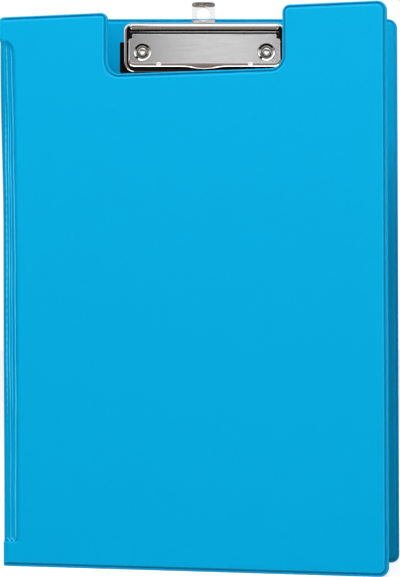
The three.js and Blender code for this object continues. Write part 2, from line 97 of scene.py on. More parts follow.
def linear(code: str, alpha: float = 1.0) -> tuple[float, float, float, float]:
    """Turns an sRGB hex colour to linear light.

    Args:
        code: Six hex digits after a hash sign.
        alpha: Opacity that goes with it.

    Returns:
        Red, green, blue and alpha.
    """
    parts = [int(code[i : i + 2], 16) / 255 for i in (1, 3, 5)]
    low = [p / 12.92 if p <= 0.04045 else ((p + 0.055) / 1.055) ** 2.4 for p in parts]
    return (low[0], low[1], low[2], alpha)


def add_node(tree: bpy.types.NodeTree, kind: str, settings: dict | None = None,
             inputs: dict | None = None) -> bpy.types.Node:
    """Adds a node with its settings, and with each input set to a value or linked to a socket.

    Args:
        tree: The node tree it goes into.
        kind: Blender's type name of the node.
        settings: Attributes of the node.
        inputs: Input names or numbers, each with a value or an output socket.

    Returns:
        The new node.
    """
    made = tree.nodes.new(kind)
    for key, value in (settings or {}).items():
        setattr(made, key, value)
    for key, value in (inputs or {}).items():
        if isinstance(value, bpy.types.NodeSocket):
            tree.links.new(value, made.inputs[key])
        else:
            made.inputs[key].default_value = value
    return made


def blank_material(name: str) -> tuple[bpy.types.Material, bpy.types.NodeTree]:
    """Makes a node material with nothing in it.

    Args:
        name: The material's name.

    Returns:
        The material and its empty node tree.
    """
    material = bpy.data.materials.new(name)
    material.use_nodes = True
    tree = material.node_tree
    tree.nodes.clear()
    return material, tree


def per_mm(size: float) -> float:
    """Scale of a pattern on Object coordinates whose repeats are that many millimetres."""
    return 1 / (size * MM)


@dataclass(frozen=True)
class EmbossedFoil:
    """Soft PVC foil, calendered with a fine leather grain: satin, with broad soft highlights."""

    name: str = "embossed_pvc_foil"
    colour: str = "#00b1e4"
    pressed_colour: str = "#00a9dc"
    # Painted shade for the rim's and hinge's grooves and painted highlight for their crests, mixed in
    # by the mesh's relief
    painted_groove_shade_colour: str = "#0092c3"
    painted_crest_highlight_colour: str = "#4ee8ff"
    roughness: float = 0.36
    gloss: float = 0.03
    grain_mm: float = 1.1
    grain_depth_mm: float = 0.018
    pore_mm: float = 0.45
    pore_depth_mm: float = 0.006
    cockle_mm: float = 55.0
    cockle_depth_mm: float = 0.10

    def material(self) -> bpy.types.Material:
        """Builds the node material.

        Grain is a Voronoi cell pattern, pores are fine noise, and a long low wave stands for
        the foil's slight cockling over the board.

        Returns:
            The material.
        """
        material, tree = blank_material(self.name)
        where = add_node(tree, "ShaderNodeTexCoord").outputs["Object"]
        cells = add_node(tree, "ShaderNodeTexVoronoi", {"feature": "SMOOTH_F1"},
                         {"Vector": where, "Scale": per_mm(self.grain_mm), "Smoothness": 0.6})
        pores = add_node(tree, "ShaderNodeTexNoise", {},
                         {"Vector": where, "Scale": per_mm(self.pore_mm), "Detail": 3.0})
        cockle = add_node(tree, "ShaderNodeTexNoise", {},
                          {"Vector": where, "Scale": per_mm(self.cockle_mm), "Detail": 1.0})
        long_wave = add_node(tree, "ShaderNodeBump", {},
                             {"Height": cockle.outputs["Fac"], "Distance": self.cockle_depth_mm * MM})
        grain = add_node(tree, "ShaderNodeBump", {}, {"Height": cells.outputs["Distance"],
                         "Distance": self.grain_depth_mm * MM, "Normal": long_wave.outputs["Normal"]})
        fine = add_node(tree, "ShaderNodeBump", {}, {"Height": pores.outputs["Fac"],
                        "Distance": self.pore_depth_mm * MM, "Normal": grain.outputs["Normal"]})
        tint = add_node(tree, "ShaderNodeMix", {"data_type": "RGBA"}, {
            0: pores.outputs["Fac"], 6: linear(self.pressed_colour), 7: linear(self.colour)})
        sheen = add_node(tree, "ShaderNodeMapRange", {}, {"Value": cells.outputs["Distance"],
                         "To Min": self.roughness + 0.06, "To Max": self.roughness - 0.05})
        shade = self.painted_groove_shade_and_crest_highlight(tree, tint.outputs[2])
        skin = add_node(tree, "ShaderNodeBsdfPrincipled", {},
                        {"Base Color": shade, "Roughness": sheen.outputs[0],
                         "Normal": fine.outputs["Normal"], "IOR": 1.53,
                         "Specular IOR Level": self.gloss})
        add_node(tree, "ShaderNodeOutputMaterial", {}, {"Surface": skin.outputs[0]})
        return material

    def painted_groove_shade_and_crest_highlight(self, tree: bpy.types.NodeTree, plain: bpy.types.NodeSocket) -> bpy.types.NodeSocket:
        """Paints shade into the grooves of the welded rim and hinge and paints highlights onto the
        crests.

        Args:
            tree: The node tree.
            plain: Colour of the foil beside them.

        Returns:
            The colour, by the mesh's relief: painted shade at 0 in a groove, 0.5 on a plain face,
            painted highlight at 1 on a crest.
        """
        relief = add_node(tree, "ShaderNodeAttribute", {"attribute_name": "relief"}).outputs["Fac"]
        deep = add_node(tree, "ShaderNodeMapRange", {}, {"Value": relief, "From Max": 0.5})
        high = add_node(tree, "ShaderNodeMapRange", {}, {"Value": relief, "From Min": 0.5})
        lower = add_node(tree, "ShaderNodeMix", {"data_type": "RGBA"},
                         {0: deep.outputs[0], 6: linear(self.painted_groove_shade_colour), 7: plain})
        upper = add_node(tree, "ShaderNodeMix", {"data_type": "RGBA"},
                         {0: high.outputs[0], 6: lower.outputs[2], 7: linear(self.painted_crest_highlight_colour)})
        return upper.outputs[2]


@dataclass(frozen=True)
class BrightNickel:
    """Nickel plate on pressed or drawn steel: a clean mirror, dulled a little by rolling marks."""

    name: str
    colour: str = "#dcdbdc"
    roughness: float = 0.1
    mark_mm: tuple[float, float, float] = (9.0, 0.5, 0.5)
    mark_depth_mm: float = 0.0004

    def material(self) -> bpy.types.Material:
        """Builds the node material, whose fine marks run along X as the sheet was rolled.

        Returns:
            The material.
        """
        material, tree = blank_material(self.name)
        where = add_node(tree, "ShaderNodeTexCoord").outputs["Object"]
        stretched = add_node(tree, "ShaderNodeMapping", {},
                             {"Vector": where, "Scale": tuple(per_mm(size) for size in self.mark_mm)})
        marks = add_node(tree, "ShaderNodeTexNoise", {},
                         {"Vector": stretched.outputs[0], "Scale": 1.0, "Detail": 4.0})
        bump = add_node(tree, "ShaderNodeBump", {},
                        {"Height": marks.outputs["Fac"], "Distance": self.mark_depth_mm * MM})
        dull_and_painted_shade = add_node(tree, "ShaderNodeMapRange", {}, {"Value": marks.outputs["Fac"],
                        "To Min": self.roughness * 0.7, "To Max": self.roughness * 1.3})
        skin = add_node(tree, "ShaderNodeBsdfPrincipled", {}, {
            "Base Color": linear(self.colour), "Metallic": 1.0, "Roughness": dull_and_painted_shade.outputs[0],
            "Normal": bump.outputs["Normal"]})
        add_node(tree, "ShaderNodeOutputMaterial", {}, {"Surface": skin.outputs[0]})
        return material


@dataclass(frozen=True)
class GreyBoard:
    """Recycled grey board: matt and flecked with fibres."""

    name: str = "recycled_grey_board"
    colour: str = "#8e8c88"
    fleck_colour: str = "#6f6c66"
    fleck_mm: float = 1.6

    def material(self) -> bpy.types.Material:
        """Builds the node material, a grey with darker fibre flecks.

        Returns:
            The material.
        """
        material, tree = blank_material(self.name)
        where = add_node(tree, "ShaderNodeTexCoord").outputs["Object"]
        flecks = add_node(tree, "ShaderNodeTexNoise", {},
                          {"Vector": where, "Scale": per_mm(self.fleck_mm), "Detail": 6.0})
        tint = add_node(tree, "ShaderNodeMix", {"data_type": "RGBA"}, {
            0: flecks.outputs["Fac"], 6: linear(self.fleck_colour), 7: linear(self.colour)})
        skin = add_node(tree, "ShaderNodeBsdfPrincipled", {},
                        {"Base Color": tint.outputs[2], "Roughness": 0.9})
        add_node(tree, "ShaderNodeOutputMaterial", {}, {"Surface": skin.outputs[0]})
        return material


@dataclass(frozen=True)
class ClearPolystyrene:
    """Clear moulded polystyrene: glassy, with faint flow lines from the mould."""

    name: str = "clear_polystyrene"
    colour: str = "#eceeef"
    roughness: float = 0.06
    flow_mm: float = 3.0
    flow_depth_mm: float = 0.02

    def material(self) -> bpy.types.Material:
        """Builds the node material, clear and slightly uneven.

        Returns:
            The material.
        """
        material, tree = blank_material(self.name)
        where = add_node(tree, "ShaderNodeTexCoord").outputs["Object"]
        flow = add_node(tree, "ShaderNodeTexNoise", {},
                        {"Vector": where, "Scale": per_mm(self.flow_mm), "Detail": 2.0})
        bump = add_node(tree, "ShaderNodeBump", {},
                        {"Height": flow.outputs["Fac"], "Distance": self.flow_depth_mm * MM})
        skin = add_node(tree, "ShaderNodeBsdfPrincipled", {},
                        {"Base Color": linear(self.colour), "Roughness": self.roughness, "IOR": 1.59,
                         "Transmission Weight": 1.0, "Normal": bump.outputs["Normal"]})
        add_node(tree, "ShaderNodeOutputMaterial", {}, {"Surface": skin.outputs[0]})
        return material


@dataclass(frozen=True)
class FlatFrame:
    """One of the flat frames that pieces are worked out in.

    Attributes:
        corner: X and Y of its vertical corner line, in mm.
        turn: Angle in radians by which u turns clockwise from +X, seen from above.
    """

    corner: tuple[float, float]
    turn: float

    def along(self) -> np.ndarray:
        """Unit vector of u in X and Y."""
        return np.array([math.cos(self.turn), -math.sin(self.turn)])

    def up(self) -> np.ndarray:
        """Unit vector of n in X and Y."""
        return np.array([-math.sin(self.turn), -math.cos(self.turn)])

    def place(self, u: np.ndarray, n: np.ndarray, w: np.ndarray) -> np.ndarray:
        """Turns u, n and w to points, as corner + u * along + n * up, with w as height.

        Args:
            u: Distances along the width.
            n: Heights above the middle plane.
            w: Heights above the floor.

        Returns:
            An array of points in mm, with X, Y and Z last.
        """
        u, n, w = np.broadcast_arrays(u, n, w)
        flat = np.array(self.corner) + u[..., None] * self.along() + n[..., None] * self.up()
        return np.concatenate([flat, w[..., None]], axis=-1)


def make_piece(name: str, points: np.ndarray, faces: list, finish: bpy.types.Material,
               sharp_deg: float = 40.0, flat_faces: tuple[int, ...] = ()) -> bpy.types.Object:
    """Makes a smooth-shaded mesh object at the origin.

    Args:
        name: Object and mesh name.
        points: Points in mm, X, Y and Z last.
        faces: Index lists.
        finish: The material it gets.
        sharp_deg: Edges that bend more than this stay sharp.
        flat_faces: Places in faces of those that are shaded flat.

    Returns:
        The object, linked to the scene.
    """
    mesh = bpy.data.meshes.new(name)
    mesh.from_pydata((points.reshape(-1, 3) * MM).tolist(), [], faces)
    smooth = np.ones(len(faces), bool)
    smooth[list(flat_faces)] = False
    mesh.polygons.foreach_set("use_smooth", smooth)
    mesh.set_sharp_from_angle(angle=math.radians(sharp_deg))
    mesh.materials.append(finish)
    mesh.update()
    made = bpy.data.objects.new(name, mesh)
    bpy.context.scene.collection.objects.link(made)
    return made


def grid_faces(rows: int, columns: int, wraps: bool, start: int = 0) -> list[list[int]]:
    """Four-sided faces of a grid of points, row by row.

    Args:
        rows: Number of rows of points.
        columns: Number of points in a row.
        wraps: Whether each row closes on itself.
        start: Index of the grid's first point.

    Returns:
        The faces as index lists.
    """
    steps = np.arange(columns if wraps else columns - 1)
    row, column = np.meshgrid(np.arange(rows - 1), steps, indexing="ij")
    here, above, after = row * columns, (row + 1) * columns, (column + 1) % columns
    corners = [here + column, here + after, above + after, above + column]
    return (np.stack([c.ravel() for c in corners], axis=1) + start).tolist()


def tube_faces(rings: int, sides: int) -> list[list[int]]:
    """Faces of a tube of rings of points, with one face over each end.

    Args:
        rings: Number of rings.
        sides: Points in a ring.

    Returns:
        The faces as index lists.
    """
    last = (rings - 1) * sides
    return grid_faces(rings, sides, True) + [list(range(sides)), list(range(last, last + sides))]


def finish_normals(piece: bpy.types.Object, merge_mm: float = 0.002) -> None:
    """Merges doubled points and turns all faces of a closed piece outwards.

    Args:
        piece: The mesh object.
        merge_mm: Points nearer than this become one.
    """
    work = bmesh.new()
    work.from_mesh(piece.data)
    bmesh.ops.remove_doubles(work, verts=work.verts, dist=merge_mm * MM)
    bmesh.ops.recalc_face_normals(work, faces=work.faces)
    work.to_mesh(piece.data)
    work.free()
    piece.data.update()


def add_relief(piece: bpy.types.Object, relief: np.ndarray) -> None:
    """Stores each point's relief, which sets the foil's painted shade and painted highlight."""
    marks = piece.data.attributes.new("relief", "FLOAT", "POINT")
    marks.data.foreach_set("value", relief.ravel())


def turned_piece(name: str, profile: np.ndarray, centre: tuple[float, float, float],
                 finish: bpy.types.Material) -> bpy.types.Object:
    """A round solid about an axis along Y: a closed profile of radius and height, carried round.

    Each point is centre + (radius cos a, -height, radius sin a).

    Args:
        name: Object name.
        profile: Radius and height pairs, which close on themselves.
        centre: Point on the axis at height zero, in mm.
        finish: The material.

    Returns:
        The object.
    """
    steps = 64
    angle = np.linspace(0, 2 * np.pi, steps, endpoint=False)[:, None]
    radius, height = profile[:, 0][None, :], profile[:, 1][None, :]
    points = np.stack([centre[0] + radius * np.cos(angle), centre[1] - height + 0 * angle,
                       centre[2] + radius * np.sin(angle)], axis=-1)
    closed = np.concatenate([points, points[:1]], axis=0)
    piece = make_piece(name, closed, grid_faces(steps + 1, len(profile), True), finish, 50.0)
    finish_normals(piece)
    return piece


def arc(centre: tuple[float, float], radii: tuple[float, float], start_deg: float, end_deg: float,
        steps: int) -> np.ndarray:
    """Points on an arc of an ellipse: centre + (a cos t, b sin t)."""
    t = np.radians(np.linspace(start_deg, end_deg, steps + 1))
    return np.stack([centre[0] + radii[0] * np.cos(t), centre[1] + radii[1] * np.sin(t)], axis=1)


@dataclass(frozen=True)
class PanelSizes:
    """Sizes of both panels in mm, as the CAD model has them."""

    width: float
    height: float
    corner_radius: float = 5.7
    foot_radius: float = 4.6
    fold_corner_radius: float = 0.4
    skin_inset: float = 11.4
    face: float = 1.6
    seam_floor: float = 0.05
    bead_width: float = 1.25
    bead_base: float = 0.3
    bead_rise: float = 0.62
    groove_width: float = 0.45
    groove_level: float = 0.3
    edge_run: float = 1.3
    foil: float = 0.4
    # Relief across the rim: low values paint shade in and beside the groove, higher ones paint
    # highlight on the bead and the climb
    painted_rim_light: tuple[tuple[float, float], ...] = (
        (0.0, 0.5), (0.5, 0.58), (0.8, 0.1), (1.8, 0.05), (2.2, 0.5), (2.65, 0.6), (2.98, 0.5))

    def rim(self) -> np.ndarray:
        """The rim's section from the panel's outer edge inwards.

        A half-round bead, a flat groove, then a quarter of an ellipse where the foil climbs
        over the board's rounded edge to the face.

        Returns:
            Pairs of inset and height.
        """
        half = self.bead_width / 2
        bead = arc((half, self.bead_base), (half, self.bead_rise), 180, 12, 12)
        climb_start = self.bead_width + self.groove_width
        groove = np.array([[self.bead_width + 0.1, self.groove_level],
                           [climb_start - 0.1, self.groove_level]])
        climb = arc((climb_start + self.edge_run, self.groove_level),
                    (self.edge_run, self.face - self.groove_level), 172, 90, 12)
        return np.concatenate([[[0.0, self.seam_floor]], bead, groove, climb])

    def rim_relief(self, inset: np.ndarray) -> np.ndarray:
        """Relief across the rim for the foil's colour: painted shade near 0 in the groove, 0.5 on the
        plain face, painted highlight above it.
        """
        return np.interp(inset, *np.array(self.painted_rim_light).T)

    def rim_width(self) -> float:
        """Distance from the panel's edge to where its face starts."""
        return self.bead_width + self.groove_width + self.edge_run


@dataclass(frozen=True)
class Window:
    """The window in the cover's top edge, in mm."""

    start: float
    end: float
    foot: float
    foot_radius: float = 7.0
    shoulder_radius: float = 4.2


@dataclass
class Panel:
    """One panel: a board between two foils that are welded together round its rim.

    Attributes:
        name: Start of its pieces' names.
        frame: The flat frame it lies in.
        sizes: Its sizes.
        window: The window in its top edge, or None.
        rim_light_paint: How strongly the rim's painted shade and painted highlight show in its colour,
            from 0 to 1.
        run_mm: About how long the steps along its straight edges are.
        arc_steps: Steps in each corner.
    """

    name: str
    frame: FlatFrame
    sizes: PanelSizes
    window: Window | None = None
    rim_light_paint: float = 1.0
    run_mm: float = 6.0
    arc_steps: int = 10

    def corners(self) -> np.ndarray:
        """The panel's corners, counter-clockwise from the foot of the fold edge.

        Returns:
            One row per corner: u, w and radius.
        """
        s = self.sizes
        foot = s.foot_radius if self.window is None else s.corner_radius
        low = [[0, 0, s.fold_corner_radius], [s.width, 0, foot], [s.width, s.height, s.corner_radius]]
        high = [[0, s.height, s.fold_corner_radius]]
        if self.window is None:
            return np.array(low + high)
        v = self.window
        cut = [[v.end, s.height, v.shoulder_radius], [v.end, v.foot, v.foot_radius],
               [v.start, v.foot, v.foot_radius], [v.start, s.height, v.shoulder_radius]]
        return np.array(low + cut + high)

    def outline(self, inset: float, fold_inset: float) -> tuple[np.ndarray, np.ndarray]:
        """The panel's outline drawn in, with its corners rounded and its straight runs divided.

        Outward corners tighten as the outline moves in, and inward ones widen.

        Args:
            inset: How far every edge moves in.
            fold_inset: The same at the fold edge.

        Returns:
            Points as u and w, and for each point whether it lies on the fold edge.
        """
        corners = self.corners()
        places, ends = corners[:, :2], []
        into = places - np.roll(places, 1, axis=0)
        into /= np.linalg.norm(into, axis=1)[:, None]
        out = np.roll(into, -1, axis=0)
        for (u, w, radius), a, b in zip(corners, into, out):
            left_a, left_b = np.array([-a[1], a[0]]), np.array([-b[1], b[0]])
            convex = a[0] * b[1] - a[1] * b[0] > 0
            side = 1.0 if convex else -1.0
            r = max(radius - inset, 0.25) if convex else radius + inset
            inset_a = fold_inset if u == 0 and a[1] != 0 else inset
            inset_b = fold_inset if u == 0 and b[1] != 0 else inset
            centre = np.array([u, w]) + left_a * (inset_a + side * r) + left_b * (inset_b + side * r)
            start = math.degrees(math.atan2(-side * left_a[1], -side * left_a[0]))
            ends.append(arc(tuple(centre), (r, r), start, start + side * 90, self.arc_steps))
        spans = np.linalg.norm(np.roll(places, -1, axis=0) - places, axis=1)
        points = []
        for here, after, span in zip(ends, ends[1:] + ends[:1], spans):
            steps = max(2, round(span / self.run_mm))
            run = here[-1] + (after[0] - here[-1]) * np.linspace(0, 1, steps + 1)[1:-1, None]
            points += [here, run]
        whole = np.concatenate(points)
        return whole, np.isclose(whole[:, 0], whole[:, 0].min(), atol=0.6)

    def foil(self, side: Side, finish: bpy.types.Material,
             holes: tuple[np.ndarray, ...] = ()) -> bpy.types.Object:
        """One foil: the rim's section carried round the outline, closed by flat faces with holes.

        At the fold edge the section starts further in, and its bead is pressed down, because
        the fold strip covers it there.

        Args:
            side: Which face of the panel it is on.
            finish: The foil's material.
            holes: Outlines of holes right through it, as u and w.

        Returns:
            The object.
        """
        s = self.sizes
        climb_start = s.rim_width() - s.edge_run
        under = np.array([[s.rim_width() + s.foil, s.face - s.foil],
                          [climb_start + s.foil, s.seam_floor]])
        section = np.concatenate([under, s.rim()])
        squeeze = s.skin_inset - s.rim_width()
        loops, levels, marks = [], [], []
        for inset, height in section:
            tucked = climb_start + squeeze - 0.3 * max(climb_start - inset, 0.0)
            fold_inset = tucked if inset < climb_start else inset + squeeze
            flat, on_fold = self.outline(inset, fold_inset)
            low = min(height, s.groove_level) if inset < climb_start else height
            loops.append(flat)
            levels.append(np.where(on_fold, low, height))
            # The rim's painted shade and highlight, scaled per panel; plain along the fold edge
            rim_mark = 0.5 + self.rim_light_paint * (s.rim_relief(inset) - 0.5)
            marks.append(np.where(on_fold, 0.5, rim_mark))
        count, last = len(loops[0]), (len(loops) - 1) * len(loops[0])
        faces = grid_faces(len(loops), count, True)
        caps = []
        for first, loop, level in ((0, loops[0], s.face - s.foil), (last, loops[-1], s.face)):
            numbers = [np.arange(count) + first]
            for hole in holes:
                numbers.append(np.arange(len(hole)) + sum(len(made) for made in loops))
                loops.append(hole)
                levels.append(np.full(len(hole), level))
                marks.append(np.full(len(hole), 0.5))
            fill = tessellate_polygon(
                [[Vector((p[0], p[1], 0)) for p in part] for part in (loop, *holes)])
            caps += np.concatenate(numbers)[np.array(fill)].tolist()
        reach = sum(len(hole) for hole in holes)
        start = last + count
        for hole in holes:
            here = np.arange(len(hole)) + start
            after = np.roll(here, -1)
            caps += np.stack([here, after, after + reach, here + reach], axis=1).tolist()
            start += len(hole)
        flat, n = np.concatenate(loops), np.concatenate(levels) * side.value
        piece = make_piece(f"{self.name}_{'front' if side is Side.FRONT else 'rear'}_skin",
                           self.frame.place(flat[:, 0], n, flat[:, 1]), faces + caps, finish, 60.0,
                           tuple(range(len(faces), len(faces) + len(caps))))
        add_relief(piece, np.concatenate(marks))
        finish_normals(piece)
        return piece


@dataclass(frozen=True)
class Ridge:
    """A ridge of the hinge zone in mm, with the shares that it loses at the top and the foot."""

    place: float
    width: float
    rise: float
    top_loss: float
    foot_loss: float
    foot_shift: float


@dataclass
class FoldStrip:
    """Half of the spine with the fold and the ridged hinge zone of the panel beside it.

    It is both foils welded together. Its middle line runs along the spine, round the fold and
    along the panel to the board's edge. t counts along it, from the fold towards the panel.
    """

    name: str
    corner: tuple[float, float]
    outward: tuple[np.ndarray, np.ndarray]
    legs: tuple[np.ndarray, np.ndarray]
    spine_half: float
    sizes: PanelSizes
    fold_radius: float = 1.0
    spine_level: float = 0.5
    zone_level: float = 0.34
    zone_end: float = 7.75
    shoulder_width: float = 2.5
    shoulder_power: float = 2.0
    edge_round: float = 3.0
    bow: float = 1.55
    bow_start: float = 195.0
    bow_run: float = 95.0
    zone_bottom: float = 13.4
    zone_top: float = 305.8
    ridges: tuple[Ridge, ...] = (
        Ridge(2.1, 0.48, 0.8, 0.6, 0.75, 0.0), Ridge(3.8, 0.4, 0.85, 0.0, 0.25, 0.3),
        Ridge(5.25, 0.42, 0.7, 0.75, 0.6, 0.3), Ridge(7.3, 0.38, 1.05, 0.0, 0.0, -0.17))
    narrowing_start: float = 85.0
    narrowing_run: float = 208.0
    pinch_start: float = 293.0
    pinch_run: float = 8.5
    top_fade_start: float = 250.0
    top_fade_run: float = 30.0
    worn_top: float = 115.0
    worn_run: float = 60.0
    end_arc_level: float = 1.9
    end_arc_depth: float = 0.6
    end_arc_pitch: float = 2.7
    end_arc_rise: float = 0.9
    end_arc_width: float = 0.45
    pad_swell: tuple[float, float] = (-0.95, -0.4)
    overlap: float = 2.0
    lift: float = 0.05

    def middle_line(self, t: np.ndarray) -> tuple[np.ndarray, np.ndarray]:
        """Points and outward normals of the middle line: two straight legs and an arc between.

        Args:
            t: Distance from the fold, negative on the spine.

        Returns:
            Points and unit normals in X and Y.
        """
        spine_leg, panel_leg = self.legs
        spine_up, panel_up = self.outward
        half_angle = math.acos(float(spine_leg @ panel_leg)) / 2
        reach = self.fold_radius / math.tan(half_angle)
        bisector = (spine_leg + panel_leg) / np.linalg.norm(spine_leg + panel_leg)
        centre = np.array(self.corner) + bisector * self.fold_radius / math.sin(half_angle)
        share = np.clip((t + reach) / (2 * reach), 0, 1)[:, None]
        start = math.atan2(spine_up[1], spine_up[0])
        sweep = (math.atan2(panel_up[1], panel_up[0]) - start + math.pi) % (2 * math.pi) - math.pi
        angle = start + sweep * share
        normal = np.concatenate([np.cos(angle), np.sin(angle)], axis=1)
        on_arc = centre + self.fold_radius * normal
        beyond = (np.clip(t - reach, 0, None)[:, None] * panel_leg
                  + np.clip(-t - reach, 0, None)[:, None] * spine_leg)
        return on_arc + beyond, normal

    def wear_and_painted_light(self, w: np.ndarray) -> np.ndarray:
        """How far a height lies in the lower part, where wear has lowered the ridges and the sunk
        zone's painted shade is lighter: 0 above it, 1 at the foot.
        """
        return eased_step((self.worn_top - w) / self.worn_run)

    def zone(self, t: np.ndarray, w: np.ndarray) -> tuple[np.ndarray, np.ndarray]:
        """How far the surface is sunk into the hinge zone, and the ridges that stand in it.

        The zone narrows towards the top, where its end is an arc. The ridges are bells across
        it that waver a little along it, and the first one is beaded. Some of them fade at the
        top and in the lower part, which wear has flattened. At the lower end the welding tool
        has left a row of small arcs, a bell round a cosine wave.

        Args:
            t: Distance from the fold.
            w: Height above the floor.

        Returns:
            The share that is sunk, from 0 to 1, and the ridges' height in mm.
        """
        narrowed = np.clip((w - self.narrowing_start) / self.narrowing_run, 0, 1) ** 1.6
        pinched = np.clip((w - self.pinch_start) / self.pinch_run, 0, 1)
        squeeze = 1.04 - 0.25 * narrowed - 0.12 * pinched
        beside = 1 - np.clip((t - self.zone_end * squeeze) / self.shoulder_width, 0, 1)
        roof = self.zone_top - 0.3 * np.abs(t) - 0.06 * t * t
        along = eased_step((w - self.zone_bottom) / 1.3) * eased_step((roof - w) / 2.6)
        high, deep = eased_step((w - self.top_fade_start) / self.top_fade_run), self.wear_and_painted_light(w)
        wander = 0.1 * np.sin(w / 17) + 0.06 * np.sin(w / 6.1 + 1)
        place = t / squeeze + wander + 0.8 * eased_step((w - 255) / 38)
        bells = [ridge.rise * (1 - ridge.top_loss * high - ridge.foot_loss * deep)
                 * np.exp(-(((place - ridge.place - ridge.foot_shift * deep) / ridge.width) ** 2))
                 for ridge in self.ridges]
        beads = 0.16 * np.sin(w * 1.5) * np.exp(-(((t - self.ridges[0].place) / 0.8) ** 2))
        waver = 1 + 0.12 * np.sin(w / 9.0 + 0.4 * t) + 0.06 * np.sin(w / 3.3 + 2 * t) + beads
        wave = self.end_arc_depth * np.cos(2 * np.pi * (t - 2.2) / self.end_arc_pitch)
        end = self.zone_bottom + self.end_arc_level + wave
        arcs = self.end_arc_rise * np.exp(-(((w - end) / self.end_arc_width) ** 2))
        arcs = arcs * eased_step((t - 1.2) / 0.8) * eased_step((7.8 - t) / 0.8)
        ends = eased_step((roof - 1 - w) / 5) * eased_step((w - end) / 1.5)
        return beside ** self.shoulder_power * along, sum(bells) * waver * ends + arcs

    def height(self, t: np.ndarray, w: np.ndarray) -> tuple[np.ndarray, np.ndarray]:
        """Height of the strip's surface above its middle line, and its relief.

        The board's level at both ends and beyond the zone, with a rounded shoulder, and the
        sunk zone with its ridges between them. The fold bows outwards near the top. The rim's
        bead and groove cut the surface down at the very ends, and a plain round does so at the
        fold. Past the zone it sinks slowly into the panel's face.

        Args:
            t: Distance from the fold, one value per column.
            w: Height above the floor, one value per row.

        Returns:
            One height per row and column, and one relief: 0 for painted shade in grooves, 1 for painted
            highlight on crests, 0.5 beside.
        """
        s = self.sizes
        t, w = np.broadcast_arrays(t[None, :], w[:, None])
        edge = np.minimum(w, s.height - w)
        sunk, ridges = self.zone(t, w)
        spine = self.spine_level - 0.28 * eased_step((150 - w) / 100)
        low = self.zone_level + (spine - self.zone_level) * eased_step(1 - t) + ridges
        swell = np.where(w < s.height / 2, self.pad_swell[0], self.pad_swell[1])
        near_fold = eased_step((3.2 - t) / 3.0)
        board = s.face + swell * near_fold
        bow = self.bow * eased_step((w - self.bow_start) / self.bow_run) * near_fold
        rim = s.rim()
        beaded = np.interp(edge, rim[:, 0], rim[:, 1])
        rise = board + bow + 0.2 - s.seam_floor
        plain = s.seam_floor + rise * np.sqrt(1 - (1 - np.clip(edge / self.edge_round, 0, 1)) ** 2)
        limit = beaded + (plain - beaded) * eased_step((1.2 - t) / 1.4)
        fade = self.lift * (1 - 2 * np.clip((t - s.skin_inset - 0.2) / (self.overlap - 0.4), 0, 1))
        # Painted light: painted shade over the sunk zone, a little lighter in the lower part, painted
        # highlight on the ridges' crests and the fold's edge, and the rim's painted shade and highlight
        # at the ends
        crest = np.clip(ridges / 0.85, 0, 1) * eased_step((t + 0.6) / 1.2)
        crest = crest + 0.4 * eased_step((0.4 - t) / 0.8)
        relief = s.rim_relief(edge) * (1 - sunk) + sunk * (crest + 0.2 * self.wear_and_painted_light(w) * (1 - crest))
        return np.minimum(low * sunk + board * (1 - sunk) + bow, limit) + fade, relief

    def build(self, finish: bpy.types.Material) -> bpy.types.Object:
        """Makes the closed strip: its section is a loop over the outer and the inner surface.

        The inner surface comes nearer to the middle line at the fold, so that it doesn't cross
        itself there.

        Args:
            finish: The foil's material.

        Returns:
            The object.
        """
        s = self.sizes
        t = np.concatenate([np.linspace(-self.spine_half, -1.5, 9, endpoint=False),
                            np.linspace(-1.5, s.skin_inset, 74, endpoint=False),
                            np.linspace(s.skin_inset, s.skin_inset + self.overlap, 5)])
        near = np.concatenate([s.rim()[:, 0], np.linspace(s.rim_width(), 28, 44)])
        near = np.unique(np.round(near, 4))
        w = np.concatenate([near, np.linspace(28, s.height - 28, 290)[1:-1], s.height - near[::-1]])
        line, normal = self.middle_line(t)
        height, relief = self.height(t, w)
        inwards = np.minimum(height, 0.45 + 0.6 * np.abs(t)[None])
        outer = line[None] + height[..., None] * normal[None]
        inner = line[None] - inwards[..., None] * normal[None]
        loop = np.concatenate([outer, inner[:, ::-1]], axis=1)
        tall = np.broadcast_to(w[:, None, None], loop.shape[:2] + (1,))
        points = np.concatenate([loop, tall], axis=2)
        piece = make_piece(self.name, points, tube_faces(len(w), loop.shape[1]), finish, 60.0)
        add_relief(piece, np.concatenate([relief, np.full_like(relief, 0.5)], axis=1))
        finish_normals(piece)
        return piece

    def bend(self, piece: bpy.types.Object, near_body: str, far_body: str, spine_is_near: bool) -> None:
        """Works out where the fold's legs end and bakes the strip's placement into its mesh.

        Args:
            piece: The strip.
            near_body: The joint's first body; not used.
            far_body: The joint's second body; not used.
            spine_is_near: Whether the first body is the spine.
        """
        reach = 2.2
        ends = [np.array(self.corner) + leg * reach for leg in self.legs]
        start, end = ends if spine_is_near else ends[::-1]
        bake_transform(piece)


def prism(outline: np.ndarray, holes: list[np.ndarray], low: float, high: float,
          place: Callable[..., np.ndarray]) -> tuple[np.ndarray, list]:
    """A flat plate: an outline with holes, pushed out between two heights.

    Args:
        outline: Points as x and w.
        holes: Outlines of holes.
        low: Lower height.
        high: Upper height.
        place: Turns x, n and w arrays to points.

    Returns:
        Points in mm and faces.
    """
    loops = [outline] + holes
    flat = np.concatenate(loops)
    fill = tessellate_polygon([[Vector((p[0], p[1], 0)) for p in loop] for loop in loops])
    count = len(flat)
    points = np.concatenate(
        [place(flat[:, 0], np.full(count, level), flat[:, 1]) for level in (low, high)])
    faces = [list(f) for f in fill] + [[i + count for i in reversed(f)] for f in fill]
    start = 0
    for loop in loops:
        here = np.arange(len(loop)) + start
        after = np.roll(here, -1)
        faces += np.stack([here, after, after + count, here + count], axis=1).tolist()
        start += len(loop)
    return points, faces


